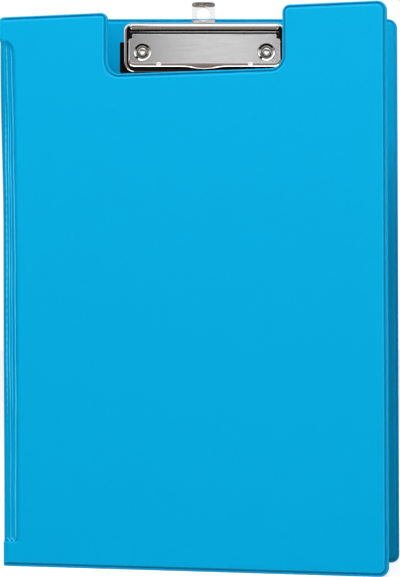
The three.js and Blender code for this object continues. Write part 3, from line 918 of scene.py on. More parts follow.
def eased_step(share: np.ndarray) -> np.ndarray:
    """Goes smoothly from 0 to 1 as its argument does: 3 s^2 - 2 s^3."""
    s = np.clip(share, 0, 1)
    return s * s * (3 - 2 * s)


def signed_power(value: np.ndarray, power: float) -> np.ndarray:
    """Raises the size of a value to a power and keeps its sign."""
    return np.sign(value) * np.abs(value) ** power


def circle(x: float, w: float, radius: float, steps: int = 64) -> np.ndarray:
    """Points of a circle, counter-clockwise."""
    return arc((x, w), (radius, radius), 0, 360 * (1 - 1 / steps), steps - 1)


def joined(parts: list[tuple[np.ndarray, list]]) -> tuple[np.ndarray, list]:
    """Joins several sets of points and faces into one.

    Args:
        parts: Points and faces of each set.

    Returns:
        All points, and all faces with their numbers moved on.
    """
    points, faces, start = [], [], 0
    for own_points, own_faces in parts:
        own_points = own_points.reshape(-1, 3)
        points.append(own_points)
        faces += [[i + start for i in face] for face in own_faces]
        start += len(own_points)
    return np.concatenate(points), faces


def soften(piece: bpy.types.Object, width_mm: float) -> None:
    """Rounds a piece's sharp edges with a live bevel.

    Args:
        piece: The mesh object.
        width_mm: How far each edge is cut back.
    """
    bevel = piece.modifiers.new("rounded_edges", "BEVEL")
    bevel.width = width_mm * MM
    bevel.segments = 2
    bevel.limit_method = "ANGLE"
    bevel.angle_limit = math.radians(40)
    bevel.harden_normals = True


@dataclass(frozen=True)
class ClipFrame:
    """Where the clip's pieces are: x from its middle, n to the front from the panel's face.

    Attributes:
        centre: X of its middle, in mm.
        face_y: Y of the panel's face.
        tube_w: Height of the rolled tube's axis above the floor.
        tube_n: Its height above the panel's face.
        rivets: x of both rivets.
        rivet_w: Their height above the floor.
    """

    centre: float
    face_y: float
    tube_w: float
    tube_n: float
    rivets: tuple[float, float]
    rivet_w: float

    def place(self, x: np.ndarray, n: np.ndarray, w: np.ndarray) -> np.ndarray:
        """Turns x, n and w to points in mm: n stands out to the front."""
        x, n, w = np.broadcast_arrays(x, n, w)
        return np.stack([self.centre + x, self.face_y - n, w], axis=-1)


@dataclass
class ClipPlate:
    """The plate of the clip: flat top, skirt, dimples, valley and rolled tube, in mm."""

    frame: ClipFrame
    plate_half: float
    plate_front: float
    plate_level: float = 6.0
    sheet: float = 0.4
    bend_radius: float = 0.7
    bend_drop: float = 2.6
    front_reach: float = 2.0
    jaw_back: float = 1.5
    corner_radius: float = 3.3
    skirt_low: float = 3.0
    jaw_low: float = 1.2
    jaw_half: float = 27.0
    bulge_half: float = 13.5
    bulge_reach: float = 1.0
    neck_start: float = 305.0
    neck_inset: float = 1.25
    ear_level: float = 3.3
    ear_inner: float = 41.0
    ear_outer: float = 45.3
    ear_rear: float = 313.2
    flat_rear: float = 308.0
    rear_bend: float = 0.2
    valley_level: float = 2.9
    valley_reach: float = 2.4
    crease: tuple[float, float] = (309.75, 310.05)
    roll_shift: float = -0.45
    tube_radius: float = 2.05
    tube_half: float = 43.3
    dimple_radius: float = 5.45
    dimple_floor_radius: float = 2.75
    dimple_floor: float = 4.9
    dimple_hole: float = 2.4
    pip_radii: tuple[float, float, float] = (1.8, 1.25, 1.0)

    def flat_outline(self) -> np.ndarray:
        """Outline of the plate's flat top, from the left skirt's rear end round the front.

        Returns:
            The path as x and w, open at the rear, with the right side last.
        """
        half = self.plate_half - self.bend_radius
        front = self.plate_front + self.front_reach
        r = self.corner_radius - self.bend_radius
        left = arc((-half + r, front + r), (r, r), 180, 270, 10)
        right = arc((half - r, front + r), (r, r), 270, 360, 10)
        w = np.concatenate([np.linspace(self.flat_rear, self.neck_start, 25),
                            np.linspace(self.neck_start, front + r, 12)[1:-1]])
        narrower = (self.neck_inset + 0.7 * self.bend_radius) * self.neck_share(w)
        down = np.stack([-half + narrower, w], axis=1)
        across = np.stack([np.linspace(-half + r, half - r, 181)[1:-1], np.full(179, front)], axis=1)
        return np.concatenate([down, left, across, right, down[::-1] * np.array([-1, 1])])

    def neck_share(self, w: np.ndarray) -> np.ndarray:
        """How far the plate has narrowed to its neck behind the skirts: 0 in front, 1 behind."""
        return eased_step((w - self.neck_start) / 0.7)

    def skirt(self) -> tuple[np.ndarray, list]:
        """The bent-down edge: a quarter of an ellipse, wide in front and tight at the sides.

        Below it a wall reaches down to the paper between the jaw's ends, where it leans back,
        and the middle of the jaw bulges forward.

        Returns:
            Points in mm and faces.
        """
        path = self.flat_outline()
        run = np.gradient(path, axis=0)
        run /= np.linalg.norm(run, axis=1)[:, None]
        outwards = np.stack([run[:, 1], -run[:, 0]], axis=1)
        x = path[:, 0][None]
        round_run = self.corner_radius - self.bend_radius
        front = self.plate_front + self.front_reach
        on_front = eased_step((front + round_run - path[:, 1][None]) / round_run)
        jaw = eased_step((self.jaw_half - np.abs(x)) / 0.8) * on_front
        bend = arc((0, -self.bend_drop), (1, self.bend_drop), 90, 0, 18)
        side_reach = self.bend_radius * (1 - 0.7 * self.neck_share(path[:, 1])[None])
        bend_reach = bend[:, :1] * (side_reach + (self.front_reach - side_reach) * on_front)
        start = self.plate_level - self.bend_drop
        low = self.skirt_low + (self.jaw_low - self.skirt_low) * jaw
        down = np.linspace(0, 1, 7)[1:, None]
        levels = np.concatenate([self.plate_level + bend[:, 1:] + 0 * x,
                                 start + (low - start) * down])
        wall_reach = bend_reach[-1:] - self.jaw_back * eased_step(down * 2) * jaw
        reach = np.concatenate([bend_reach, wall_reach])
        wave = np.cos(np.pi * x / (2 * self.bulge_half)) ** 2
        bulge = np.where(np.abs(x) < self.bulge_half, wave, 0)
        fade = np.clip((self.plate_level - 0.8 - levels) / 1.4, 0, 1)
        fade = fade * np.clip((levels - 1.8) / 1.6, 0, 1)
        reach = reach + self.bulge_reach * bulge * fade * on_front
        points = self.frame.place(path[None, :, 0] + reach * outwards[None, :, 0], levels,
                            path[None, :, 1] + reach * outwards[None, :, 1])
        return points, grid_faces(len(levels), len(path), False)

    def ear(self, side: int) -> tuple[np.ndarray, list]:
        """A flat ear beside the neck that joins the valley's end to the skirt, below the bail.

        Args:
            side: -1 for the left ear and 1 for the right one.

        Returns:
            Points in mm and faces.
        """
        inner, outer = side * self.ear_inner, side * self.ear_outer
        front = self.neck_start - 0.3
        outline = np.array([[inner, front], [outer, front], [outer, self.ear_rear],
                            [inner, self.ear_rear]])
        return prism(outline, [], self.ear_level - self.sheet, self.ear_level, self.frame.place)

    def rear_row(self) -> np.ndarray:
        """x of the points where the flat top meets the valley."""
        half = self.plate_half - 1.7 * self.bend_radius - self.neck_inset
        return np.linspace(half, -half, 61)

    def flat_top(self, finish: bpy.types.Material) -> bpy.types.Object:
        """The flat top with a round hole for each dimple, a piece of its own so that it stays flat.

        Args:
            finish: The sheet's material.

        Returns:
            The object.
        """
        path, row = self.flat_outline(), self.rear_row()
        rear = np.stack([row, np.full(len(row), self.flat_rear)], axis=1)
        holes = [circle(x, self.frame.rivet_w, self.dimple_radius)[::-1] for x in self.frame.rivets]
        low, high = self.plate_level - self.sheet / 2, self.plate_level + self.sheet / 2
        flat = prism(np.concatenate([path, rear]), holes, low, high, self.frame.place)
        piece = make_piece("clip_plate_top", *flat, finish, 30.0)
        finish_normals(piece)
        return piece

    def dimple(self, x: float) -> tuple[np.ndarray, list, np.ndarray]:
        """A pressed dish: half a cosine wave from the flat top to its floor with the rivet's hole.

        Args:
            x: Its middle.

        Returns:
            Points, faces, and which faces take painted shade: an arc above, a spot below on the left
            and a ring at the rivet.
        """
        share = np.linspace(1, 0, 21)
        radius = self.dimple_floor_radius + (self.dimple_radius - self.dimple_floor_radius) * share
        climb = self.plate_level - self.dimple_floor
        level = self.dimple_floor + climb * (1 - np.cos(np.pi * share)) / 2
        profile = np.concatenate([np.stack([radius, level], axis=1),
                                  [[self.dimple_hole, self.dimple_floor]]])
        angle = np.radians(np.arange(64) * 360 / 64)
        points = self.frame.place(x + profile[:, :1] * np.cos(angle)[None],
                            np.repeat(profile[:, 1:], 64, axis=1),
                            self.frame.rivet_w + profile[:, :1] * np.sin(angle)[None])
        depth = np.append(share[:-1] + share[1:], -1)[:, None] / 2
        turn = np.degrees(angle)[None] + 2.8
        # Painted shade: a dark arc above the dish, a dark spot below on the left and a dark ring round
        # the rivet stand in for dark reflections
        above = (turn > 35) & (turn < 155) & (depth > 0.38) & (depth < 0.8)
        spot = (turn > 212) & (turn < 236) & (depth > 0.5) & (depth < 0.88)
        return points, grid_faces(len(profile), 64, True), (above | spot | (depth < 0.1)).ravel()

    def section(self) -> np.ndarray:
        """Section of the sheet behind the flat top.

        Steeply down, then a climb through the valley whose slope eases to nothing half way,
        which leaves a crease of light, and the roll that makes the tube.

        Returns:
            Pairs of w and n.
        """
        r, tight = self.tube_radius - self.sheet / 2, self.rear_bend
        tube = arc((self.frame.tube_w + self.roll_shift, self.frame.tube_n), (r, r), -90, 168, 40)
        over = arc((self.flat_rear, self.plate_level - tight), (tight, tight), 90, 9, 6)
        foot = over[-1, 0] + 0.45
        along = np.linspace(0, self.valley_reach, 25)
        climb = self.valley_level + 0.32 * along + 0.115 * np.sin(2 * np.pi * along / self.valley_reach)
        valley = np.stack([foot + along, climb], axis=1)
        return np.concatenate([over, valley, tube])

    def roll(self) -> tuple[np.ndarray, list, np.ndarray]:
        """The sheet behind the flat top: its section carried along x, wider at the tube.

        Returns:
            Points, faces, and each face's finish: 1 for painted shade in the valley and under the tube,
            2 for the roll's top, painted dimmer.
        """
        section = self.section()
        row = self.rear_row()
        past = eased_step((section[:, 0] - self.flat_rear - 1.0) / 0.8)
        past[-40:] = 1
        widen = 1 + past * (self.tube_half / row[0] - 1)
        points = self.frame.place(row[None] * widen[:, None], section[:, 1:], section[:, :1])
        middle = (section[1:] + section[:-1]) / 2
        # Painted shade in the valley and on the tube's underside, except for the crease of light, and a
        # painted dimmer reflection on the tube's top
        lit = (middle[:, 0] > self.crease[0]) & (middle[:, 0] < self.crease[1])
        roll_w = self.frame.tube_w + self.roll_shift
        shade_top = np.where(middle[:, 0] < self.frame.tube_w - self.tube_radius,
                             self.plate_level - 0.25, self.frame.tube_n - 0.97 * self.tube_radius)
        low = middle[:, 1] < shade_top
        low[-40:] |= middle[-40:, 0] < roll_w - 0.78 * self.tube_radius
        painted_dim_roll_top = (middle[:, 0] > roll_w + 0.48 * self.tube_radius) & (middle[:, 1] > self.frame.tube_n)
        shades = np.repeat((low & ~lit) + 2 * painted_dim_roll_top, len(row) - 1)
        return points, grid_faces(len(section), len(row), False), shades

    def bump(self, x: float) -> tuple[np.ndarray, list]:
        """A small pressed pip at an end of the jaw: half an ellipsoid that stands on the sheet.

        Args:
            x: Its middle.

        Returns:
            Points in mm and faces.
        """
        rings, sides = 9, 32
        polar = np.linspace(0.02, np.pi / 2, rings)[:, None]
        around = np.radians(np.arange(sides) * 360 / sides)[None]
        wide, high, deep = self.pip_radii
        points = self.frame.place(
            x + wide * np.sin(polar) * np.cos(around),
            self.plate_level - 0.6 + high * np.cos(polar) + 0 * around,
            self.plate_front + self.front_reach - 0.4 + deep * np.sin(polar) * np.sin(around))
        return points, tube_faces(rings, sides)

    def plate(self, bright: bpy.types.Material, shaded: bpy.types.Material,
              painted_dim_roll_top: bpy.types.Material) -> bpy.types.Object:
        """The clip plate round its flat top: every bend and dish, given a thickness.

        Args:
            bright: The material of every bend and dish.
            shaded: The material of the painted shade in the valley, under the tube and in the dishes.
            painted_dim_roll_top: The material on top of the roll, painted dimmer than the bends.

        Returns:
            The object.
        """
        # The roll and the dishes come with masks of the faces that take painted shade
        dull_and_painted_shade = [self.roll()] + [self.dimple(x) for x in self.frame.rivets]
        parts = [self.skirt()] + [part[:2] for part in dull_and_painted_shade]
        piece = make_piece("clip_plate_sheet", *joined(parts), bright, 50.0)
        piece.data.materials.append(shaded)
        piece.data.materials.append(painted_dim_roll_top)
        index = np.concatenate([np.zeros(len(parts[0][1]))] + [part[2] for part in dull_and_painted_shade])
        piece.data.polygons.foreach_set("material_index", index.astype(np.int32))
        finish_normals(piece, 0.01)
        wall = piece.modifiers.new("sheet_thickness", "SOLIDIFY")
        wall.thickness = self.sheet * MM
        wall.offset = 0
        return piece

    def ears(self, finish: bpy.types.Material) -> bpy.types.Object:
        """Both ears beside the neck, as one piece.

        Args:
            finish: Their material, painted dark as shade.

        Returns:
            The object.
        """
        points, faces = joined([self.ear(side) for side in (-1, 1)])
        piece = make_piece("clip_plate_ears", points, faces, finish, 30.0)
        finish_normals(piece)
        return piece

    def pips(self, finish: bpy.types.Material) -> bpy.types.Object:
        """Both pips at the ends of the jaw, as one piece.

        Args:
            finish: Their material.

        Returns:
            The object.
        """
        points, faces = joined([self.bump(side * (self.jaw_half - 0.3)) for side in (-1, 1)])
        piece = make_piece("jaw_pips", points, faces, finish, 60.0)
        finish_normals(piece)
        return piece


@dataclass
class Bail:
    """The wire bail, whose ends lie in the rolled tube and whose front bar holds the paper.

    Attributes:
        frame: The clip's frame.
        low: Lowest corner of the CAD node, in mm.
        high: Highest corner of the CAD node, in mm.
        end: x of the wire's ends.
        past_node: How far the front bar lies below the CAD node.
        rest_n: Height of the front bar's middle above the panel's face.
    """

    frame: ClipFrame
    low: np.ndarray
    high: np.ndarray
    end: float = 32.3
    past_node: float = 1.0
    rest_n: float = 2.0
    wire_radius: float = 1.1
    sides: int = 28
    bend: float = 2.3
    corner: float = 4.4
    sag: float = 0.15

    def build(self, finish: bpy.types.Material, shaded: bpy.types.Material) -> bpy.types.Object:
        """A round section carried along a flat path that leans to the panel.

        Args:
            finish: The wire's material.
            shaded: The material of the painted shade on the inner side and on the front bar under the
                jaw.

        Returns:
            The object.
        """
        tube_w, tube_n = self.frame.tube_w, self.frame.tube_n
        bend, corner, sag, sides = self.bend, self.corner, self.sag, self.sides
        half = (self.high[0] - self.low[0]) / 2 - self.wire_radius
        front = self.low[2] + self.wire_radius - self.past_node
        drop = math.hypot(tube_w - front, tube_n - self.rest_n)
        right = np.concatenate([
            [[self.end, -sag], [half - bend - 0.3, -sag]],
            arc((half - bend, -bend - sag), (bend, bend), 90, 0, 14),
            arc((half - corner, -drop + corner), (corner, corner), 0, -90, 20),
        ])
        across = np.linspace(right[-1, 0], -right[-1, 0], 24)[1:-1]
        front_bar = np.stack([across, np.full(22, -drop)], axis=1)
        path = np.concatenate([right, front_bar, right[::-1] * [-1, 1]])
        run = np.gradient(path, axis=0)
        run /= np.linalg.norm(run, axis=1)[:, None]
        side = np.stack([-run[:, 1], run[:, 0]], axis=1)
        angle = np.radians(np.arange(sides) * 360 / sides)[None]
        x = path[:, :1] + side[:, :1] * self.wire_radius * np.cos(angle)
        v = path[:, 1:] + side[:, 1:] * self.wire_radius * np.cos(angle)
        h = self.wire_radius * np.sin(angle) + 0 * x
        lean = math.atan2(tube_n - self.rest_n, tube_w - front)
        n = tube_n + v * math.sin(lean) + h * math.cos(lean)
        w = tube_w + v * math.cos(lean) - h * math.sin(lean)
        points = self.frame.place(x, n, w)
        piece = make_piece("bail_wire", points, tube_faces(len(path), sides), finish, 50.0)
        piece.data.materials.append(shaded)
        # Painted shade on the wire's inner side and on the front bar under the jaw, fading out towards
        # the front corners
        middle = (path[1:] + path[:-1]) / 2
        turned = np.cos(angle + np.pi / sides)
        under = np.abs(middle[:, :1]) < half - corner + 2.6 - 3 * turned
        under = under & (middle[:, 1:] < -drop / 2)
        shade = np.append((under | (turned < -0.15)).ravel(), [0, 0])
        piece.data.polygons.foreach_set("material_index", shade.astype(np.int32))
        finish_normals(piece)
        return piece


@dataclass
class Rivet:
    """A hollow rivet and the flat washer behind the back panel, in mm.

    Attributes:
        frame: The clip's frame.
        seat: Height of the dimple's floor, on which the head sits.
        rear: Height of the washer's front face.
    """

    frame: ClipFrame
    seat: float
    rear: float
    bore: float = 1.25
    shank: float = 1.9
    head: float = 2.5
    tail: float = 2.7
    clearance: float = 0.3
    washer_hole: float = 2.2
    washer_edge: float = 4.6
    washer_sheet: float = 0.5

    def turned(self, name: str, x: float, finish: bpy.types.Material) -> bpy.types.Object:
        """The rivet: a domed head with a rolled lip in front and a rolled tail behind.

        Args:
            name: Object name.
            x: Its middle.
            finish: Its material.

        Returns:
            The object.
        """
        bore, shank, head, tail = self.bore, self.shank, self.head, self.tail
        top, rear = self.seat + self.clearance, self.rear - self.washer_sheet
        profile = np.concatenate([
            arc((bore + 0.45, top + 0.65), (0.45, 0.45), 180, 60, 8),
            arc((head - 0.55, top + 0.55), (0.55, 0.5), 75, 0, 8),
            [[head, top], [shank, top], [shank, rear]],
            arc((tail - 0.4, rear - 0.4), (0.4, 0.4), 0, -90, 6),
            arc((bore + 0.35, rear - 0.45), (0.35, 0.35), -90, -180, 6),
        ])
        centre = (self.frame.centre + x, self.frame.face_y, self.frame.rivet_w)
        return turned_piece(name, profile, centre, finish)

    def washer(self, name: str, x: float, finish: bpy.types.Material) -> bpy.types.Object:
        """The washer, its edges slightly rounded.

        Args:
            name: Object name.
            x: Its middle.
            finish: Its material.

        Returns:
            The object.
        """
        hole, edge, high = self.washer_hole, self.washer_edge, self.washer_sheet
        rear, r = self.rear, 0.15
        profile = np.concatenate([
            [[hole, rear], [hole, rear - high]],
            arc((edge - r, rear - high + r), (r, r), -90, 0, 4),
            arc((edge - r, rear - r), (r, r), 0, 90, 4),
        ])
        centre = (self.frame.centre + x, self.frame.face_y, self.frame.rivet_w)
        return turned_piece(name, profile, centre, finish)


@dataclass
class CounterPlate:
    """The plate under the clip with its tongue and the two lugs that guide the hanger.

    Attributes:
        frame: The clip's frame.
        low: Lowest corner of the CAD node, in mm.
        high: Highest corner of the CAD node, in mm.
    """

    frame: ClipFrame
    low: np.ndarray
    high: np.ndarray
    sheet: float = 0.6
    depth: float = 18.0
    tongue_half: float = 6.3
    hole: float = 2.4

    def build(self, finish: bpy.types.Material, bright: bpy.types.Material) -> bpy.types.Object:
        """Joins the wide plate, the raised tongue and a lug on each side of it.

        Args:
            finish: The plate's material, painted dark as a reflection of shade.
            bright: The material of the tongue and the lugs.

        Returns:
            The object.
        """
        half = (self.high[0] - self.low[0]) / 2
        bottom, shoulder, tongue_top = self.low[2], self.low[2] + self.depth, self.high[2]
        tongue, r = self.tongue_half, 0.8
        wide = tongue + 1.65
        outline = np.concatenate([
            arc((-half + r, bottom + r), (r, r), 180, 270, 4),
            arc((half - r, bottom + r), (r, r), 270, 360, 4),
            arc((half - r, shoulder - r), (r, r), 0, 90, 4),
            [[wide, shoulder], [wide, shoulder + 4], [-wide, shoulder + 4], [-wide, shoulder]],
            arc((-half + r, shoulder - r), (r, r), 90, 180, 4),
        ])
        raised = np.concatenate([
            [[-tongue, shoulder + 4], [tongue, shoulder + 4]],
            arc((tongue - r, tongue_top - r), (r, r), 0, 90, 4),
            arc((-tongue + r, tongue_top - r), (r, r), 90, 180, 4),
        ])
        holes = [circle(x, self.frame.rivet_w, self.hole, 40)[::-1] for x in self.frame.rivets]
        parts = [prism(outline, holes, 0.0, self.sheet, self.frame.place),
                 prism(raised, [], 0.0, self.sheet, self.frame.place)]
        for side in (-1, 1):
            inner, outer, lip = side * 7.0, side * 7.6, side * 6.2
            section = np.array([[inner, 0.3], [outer, 0.3], [outer, 2.8], [lip, 2.8], [lip, 2.2],
                                [inner, 2.2]])
            points = np.concatenate([self.frame.place(section[:, 0], section[:, 1], np.full(6, w))
                                     for w in (shoulder - 0.4, shoulder + 4)])
            faces = grid_faces(2, 6, True) + [[5, 4, 3, 2, 1, 0], [6, 7, 8, 9, 10, 11]]
            parts.append((points, faces))
        points, faces = joined(parts)
        piece = make_piece("counter_plate_sheet", points, faces, finish, 40.0)
        piece.data.materials.append(bright)
        index = np.arange(len(faces)) >= len(parts[0][1])
        piece.data.polygons.foreach_set("material_index", index.astype(np.int32))
        finish_normals(piece)
        soften(piece, 0.12)
        return piece


@dataclass
class Hanger:
    """The hanger: a strip with a foot and a round hole, and a swollen bar to pull it by.

    Attributes:
        frame: The clip's frame.
        low: Lowest corner of the CAD node, in mm.
        high: Highest corner of the CAD node, in mm.
        hole_w: Height of the hole's middle above the floor.
        play: How far it stands to the right of the clip's middle.
    """

    frame: ClipFrame
    low: np.ndarray
    high: np.ndarray
    hole_w: float
    play: float = -0.45
    half: float = 6.7
    hole: float = 4.1
    front: float = 1.9
    rear: float = 0.9
    bar_height: float = 3.1
    bar_level: float = 2.2
    bar_depth: float = 1.25

    def build(self, finish: bpy.types.Material,
              bar_finish: bpy.types.Material) -> bpy.types.Object:
        """Makes the strip and the bar, which hangs on it.

        The bar is a super-ellipsoid, x = a c(p) c(q), w = b c(p) s(q), n = d s(p), where c and
        s are cosine and sine with their size raised to a power below one.

        Args:
            finish: The strip's material.
            bar_finish: The bar's material, tinted partly for its depth and partly with painted dark
                reflections.

        Returns:
            The object.
        """
        foot_half, half, play = (self.high[0] - self.low[0]) / 2, self.half, self.play
        foot_w, bar = self.low[2], self.bar_height
        shoulder = self.high[2] - bar / 2
        outline = np.concatenate([
            [[-foot_half, foot_w], [foot_half, foot_w], [foot_half, foot_w + 2.2],
             [half, foot_w + 2.2]],
            arc((half - 1.5, shoulder - 0.4), (1.5, 1.5), 0, 60, 5),
            arc((-half + 1.5, shoulder - 0.4), (1.5, 1.5), 120, 180, 5),
            [[-half, foot_w + 2.2], [-foot_half, foot_w + 2.2]],
        ])
        outline[:, 0] += play
        strip = prism(outline, [circle(play, self.hole_w, self.hole, 72)[::-1]],
                      self.rear, self.front, self.frame.place)
        p = np.linspace(-np.pi / 2, np.pi / 2, 25)[:, None]
        q = np.linspace(0, 2 * np.pi, 72, endpoint=False)[None]
        x = play + half * signed_power(np.cos(p), 0.6) * signed_power(np.cos(q), 0.45)
        w = shoulder + bar / 2 * signed_power(np.cos(p), 0.6) * signed_power(np.sin(q), 0.75)
        n = self.bar_level + self.bar_depth * signed_power(np.sin(p), 0.7) + 0 * q
        grip = (self.frame.place(x, n, w), grid_faces(25, 72, True))
        body = make_piece("hanger_strip", *strip, finish, 40.0)
        finish_normals(body)
        soften(body, 0.15)
        pull = make_piece("hanger_bar", *grip, bar_finish, 60.0)
        finish_normals(pull, 0.01)
        pull.parent = body
        return body


@dataclass(frozen=True)
class Card:
    """A dark or bright curved sheet that only mirrors see.

    Attributes:
        name: Its name.
        radius: Its distance from the middle, in metres.
        azimuths: Its sides in degrees from -Y, positive towards +X.
        heights: Its lower and upper edge in metres.
        colour: How dark it is.
        strength: Brightness of white on it.
    """

    name: str
    radius: float
    azimuths: tuple[float, float]
    heights: tuple[float, float]
    colour: str = "#ffffff"
    strength: float = 1.0

    def build(self) -> None:
        """Makes the sheet, radius * (sin a, -cos a) at both heights, for mirror rays alone."""
        turn = np.radians(np.linspace(*self.azimuths, 25))
        flat = self.radius * np.stack([np.sin(turn), -np.cos(turn)], axis=1)
        points = np.stack(
            [np.concatenate([flat, np.full((25, 1), level)], axis=1) for level in self.heights])
        mesh = bpy.data.meshes.new(self.name)
        mesh.from_pydata(points.reshape(-1, 3).tolist(), [], grid_faces(2, 25, False))
        made = bpy.data.objects.new(self.name, mesh)
        bpy.context.scene.collection.objects.link(made)
        material, tree = blank_material(f"{self.name}_cloth")
        glow = add_node(tree, "ShaderNodeEmission", {},
                        {"Color": linear(self.colour), "Strength": self.strength})
        add_node(tree, "ShaderNodeOutputMaterial", {}, {"Surface": glow.outputs[0]})
        mesh.materials.append(material)
        made.visible_camera = False
        made.visible_diffuse = False
        made.visible_shadow = False
        made.visible_transmission = False


@dataclass(frozen=True)
class Lamp:
    """A square soft lamp, its place and side in metres and its power in watts."""

    name: str
    place: tuple[float, float, float]
    side: float
    power: float

    def build(self) -> None:
        """Makes the lamp, which points at the middle of the object and isn't mirrored."""
        data = bpy.data.lights.new(self.name, "AREA")
        data.size = self.side
        data.energy = self.power
        made = bpy.data.objects.new(self.name, data)
        made.location = self.place
        aim = Vector((0, 0, 0.16)) - Vector(self.place)
        made.rotation_euler = aim.to_track_quat("-Z", "Y").to_euler()
        made.visible_glossy = False
        bpy.context.scene.collection.objects.link(made)


@dataclass
class Studio:
    """Floor, white surroundings, soft lamps and the camera, placed from the photograph."""

    focal_px: float = 2410.6
    frame_px: tuple[int, int] = (400, 577)
    sensor_mm: float = 36.0
    camera_mm: tuple[float, float, float] = (82.4, -1407.65, 139.2)
    yaw_deg: float = 1.205
    pitch_deg: float = 0.86
    roll_deg: float = -0.158
    sky_colour: str = "#eef3f6"
    sky_light: float = 0.36
    floor_half: float = 12.0
    floor_colour: str = "#c4c4c4"
    floor_glow: float = 0.72
    mirrored_floor: str = "#8d837c"
    cards: tuple[Card, ...] = (
        Card("left_flag", 3.0, (-24.0, -0.65), (0.2, 2.0), "#101012"),
        Card("right_flag", 3.0, (4.3, 30.0), (0.2, 1.6), "#101012"),
        Card("low_card", 0.15, (-80.0, 80.0), (0.0, 0.293), "#a0968f"),
        Card("high_card", 3.2, (-60.0, 60.0), (0.8, 14.0), strength=1.6),
        Card("gap_card", 3.1, (2.0, 4.4), (0.2, 0.8), strength=1.3),
        Card("rear_card", 0.1, (110.0, 250.0), (0.0, 0.25), strength=3.0),
    )
    lamps: tuple[Lamp, ...] = (
        Lamp("key_lamp", (-0.2, -1.4, 2.0), 0.8, 39.0),
        Lamp("fill_lamp", (-1.2, -1.9, 0.8), 1.6, 8.5),
    )

    def camera(self, back: FlatFrame) -> None:
        """Puts the camera where the photograph's outline says, relative to the back panel.

        Args:
            back: The back panel's frame.
        """
        data = bpy.data.cameras.new("camera")
        data.sensor_width = self.sensor_mm
        data.lens = self.focal_px * self.sensor_mm / max(self.frame_px)
        data.clip_start, data.clip_end = 0.05, 50.0
        made = bpy.data.objects.new("camera", data)
        x, y, z = self.camera_mm
        made.location = ((x + back.corner[0]) * MM, (y + back.corner[1]) * MM, z * MM)
        yaw, pitch, roll = (math.radians(a) for a in (self.yaw_deg, self.pitch_deg, self.roll_deg))
        level = math.cos(pitch)
        forward = Vector((math.sin(yaw) * level, math.cos(yaw) * level, math.sin(pitch)))
        turn = forward.to_track_quat("-Z", "Y") @ Euler((0, 0, roll)).to_quaternion()
        made.rotation_euler = turn.to_euler()
        bpy.context.scene.collection.objects.link(made)
        bpy.context.scene.camera = made

    def world(self) -> None:
        """White surroundings where they are seen or mirrored, and a softer level as light."""
        world = bpy.data.worlds.new("surroundings")
        bpy.context.scene.world = world
        world.use_nodes = True
        tree = world.node_tree
        tree.nodes.clear()
        path = add_node(tree, "ShaderNodeLightPath")
        seen = add_node(tree, "ShaderNodeMath", {"operation": "MAXIMUM"},
                        {0: path.outputs["Is Camera Ray"], 1: path.outputs["Is Glossy Ray"]})
        clear = add_node(tree, "ShaderNodeMath", {"operation": "MAXIMUM"},
                         {0: seen.outputs[0], 1: path.outputs["Is Transmission Ray"]})
        light = add_node(tree, "ShaderNodeBackground", {},
                         {"Color": linear(self.sky_colour), "Strength": self.sky_light})
        white = add_node(tree, "ShaderNodeBackground", {},
                         {"Color": linear("#ffffff"), "Strength": 1.0})
        mixed = add_node(tree, "ShaderNodeMixShader", {},
                         {0: clear.outputs[0], 1: light.outputs[0], 2: white.outputs[0]})
        add_node(tree, "ShaderNodeOutputWorld", {}, {"Surface": mixed.outputs[0]})

    def floor(self) -> None:
        """A wide pale floor that stays nearly white to the camera and keeps soft shadows."""
        half = self.floor_half
        mesh = bpy.data.meshes.new("floor")
        corners = [(-half, -half, 0), (half, -half, 0), (half, half, 0), (-half, half, 0)]
        mesh.from_pydata(corners, [], [[0, 1, 2, 3]])
        made = bpy.data.objects.new("floor", mesh)
        bpy.context.scene.collection.objects.link(made)
        material, tree = blank_material("pale_floor")
        path = add_node(tree, "ShaderNodeLightPath")
        matt = add_node(tree, "ShaderNodeBsdfDiffuse", {}, {"Color": linear(self.floor_colour)})
        glow = add_node(tree, "ShaderNodeEmission", {},
                        {"Color": linear("#ffffff"), "Strength": self.floor_glow})
        both = add_node(tree, "ShaderNodeAddShader", {}, {0: matt.outputs[0], 1: glow.outputs[0]})
        mixed = add_node(tree, "ShaderNodeMixShader", {},
                         {0: path.outputs["Is Camera Ray"], 1: matt.outputs[0], 2: both.outputs[0]})
        mirrored = add_node(tree, "ShaderNodeEmission", {},
                            {"Color": linear(self.mirrored_floor), "Strength": 1.0})
        whole = add_node(tree, "ShaderNodeMixShader", {}, {
            0: path.outputs["Is Glossy Ray"], 1: mixed.outputs[0], 2: mirrored.outputs[0]})
        add_node(tree, "ShaderNodeOutputMaterial", {}, {"Surface": whole.outputs[0]})
        mesh.materials.append(material)

    def build(self, back: FlatFrame) -> None:
        """Sets up everything that isn't the object.

        Args:
            back: The back panel's frame.
        """
        scene = bpy.context.scene
        scene.view_settings.view_transform = "Standard"
        self.camera(back)
        self.world()
        self.floor()
        for card in self.cards:
            card.build()
        for lamp in self.lamps:
            lamp.build()


def box_mm(node: str) -> tuple[np.ndarray, np.ndarray]:
    """Lowest and highest corner of a CAD node in mm."""
    low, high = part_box(node)
    return np.array(low) / MM, np.array(high) / MM


def report(piece: bpy.types.Object, body: str, slot: str, nodes: tuple[str, ...]) -> None:
    """Makes a piece ride on its body and stand for CAD nodes, which are hidden, and logs it."""
    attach(piece, body)
    settle(piece, slot, nodes)


def settle(piece: bpy.types.Object, slot: str, nodes: tuple[str, ...]) -> None:
    """Lets a piece stand for CAD nodes, which are hidden, keeps it out of mirrors if its slot is the
    foil's, and logs it.

    Args:
        piece: The piece.
        slot: Material slot of the record.
        nodes: Names of the CAD nodes, or none for a detail.
    """
    if nodes:
        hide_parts(*nodes)
    piece.visible_glossy = slot != "cyan_foil"
    LOG.info("%s stands for %s", piece.name, ", ".join(nodes) or "a detail")


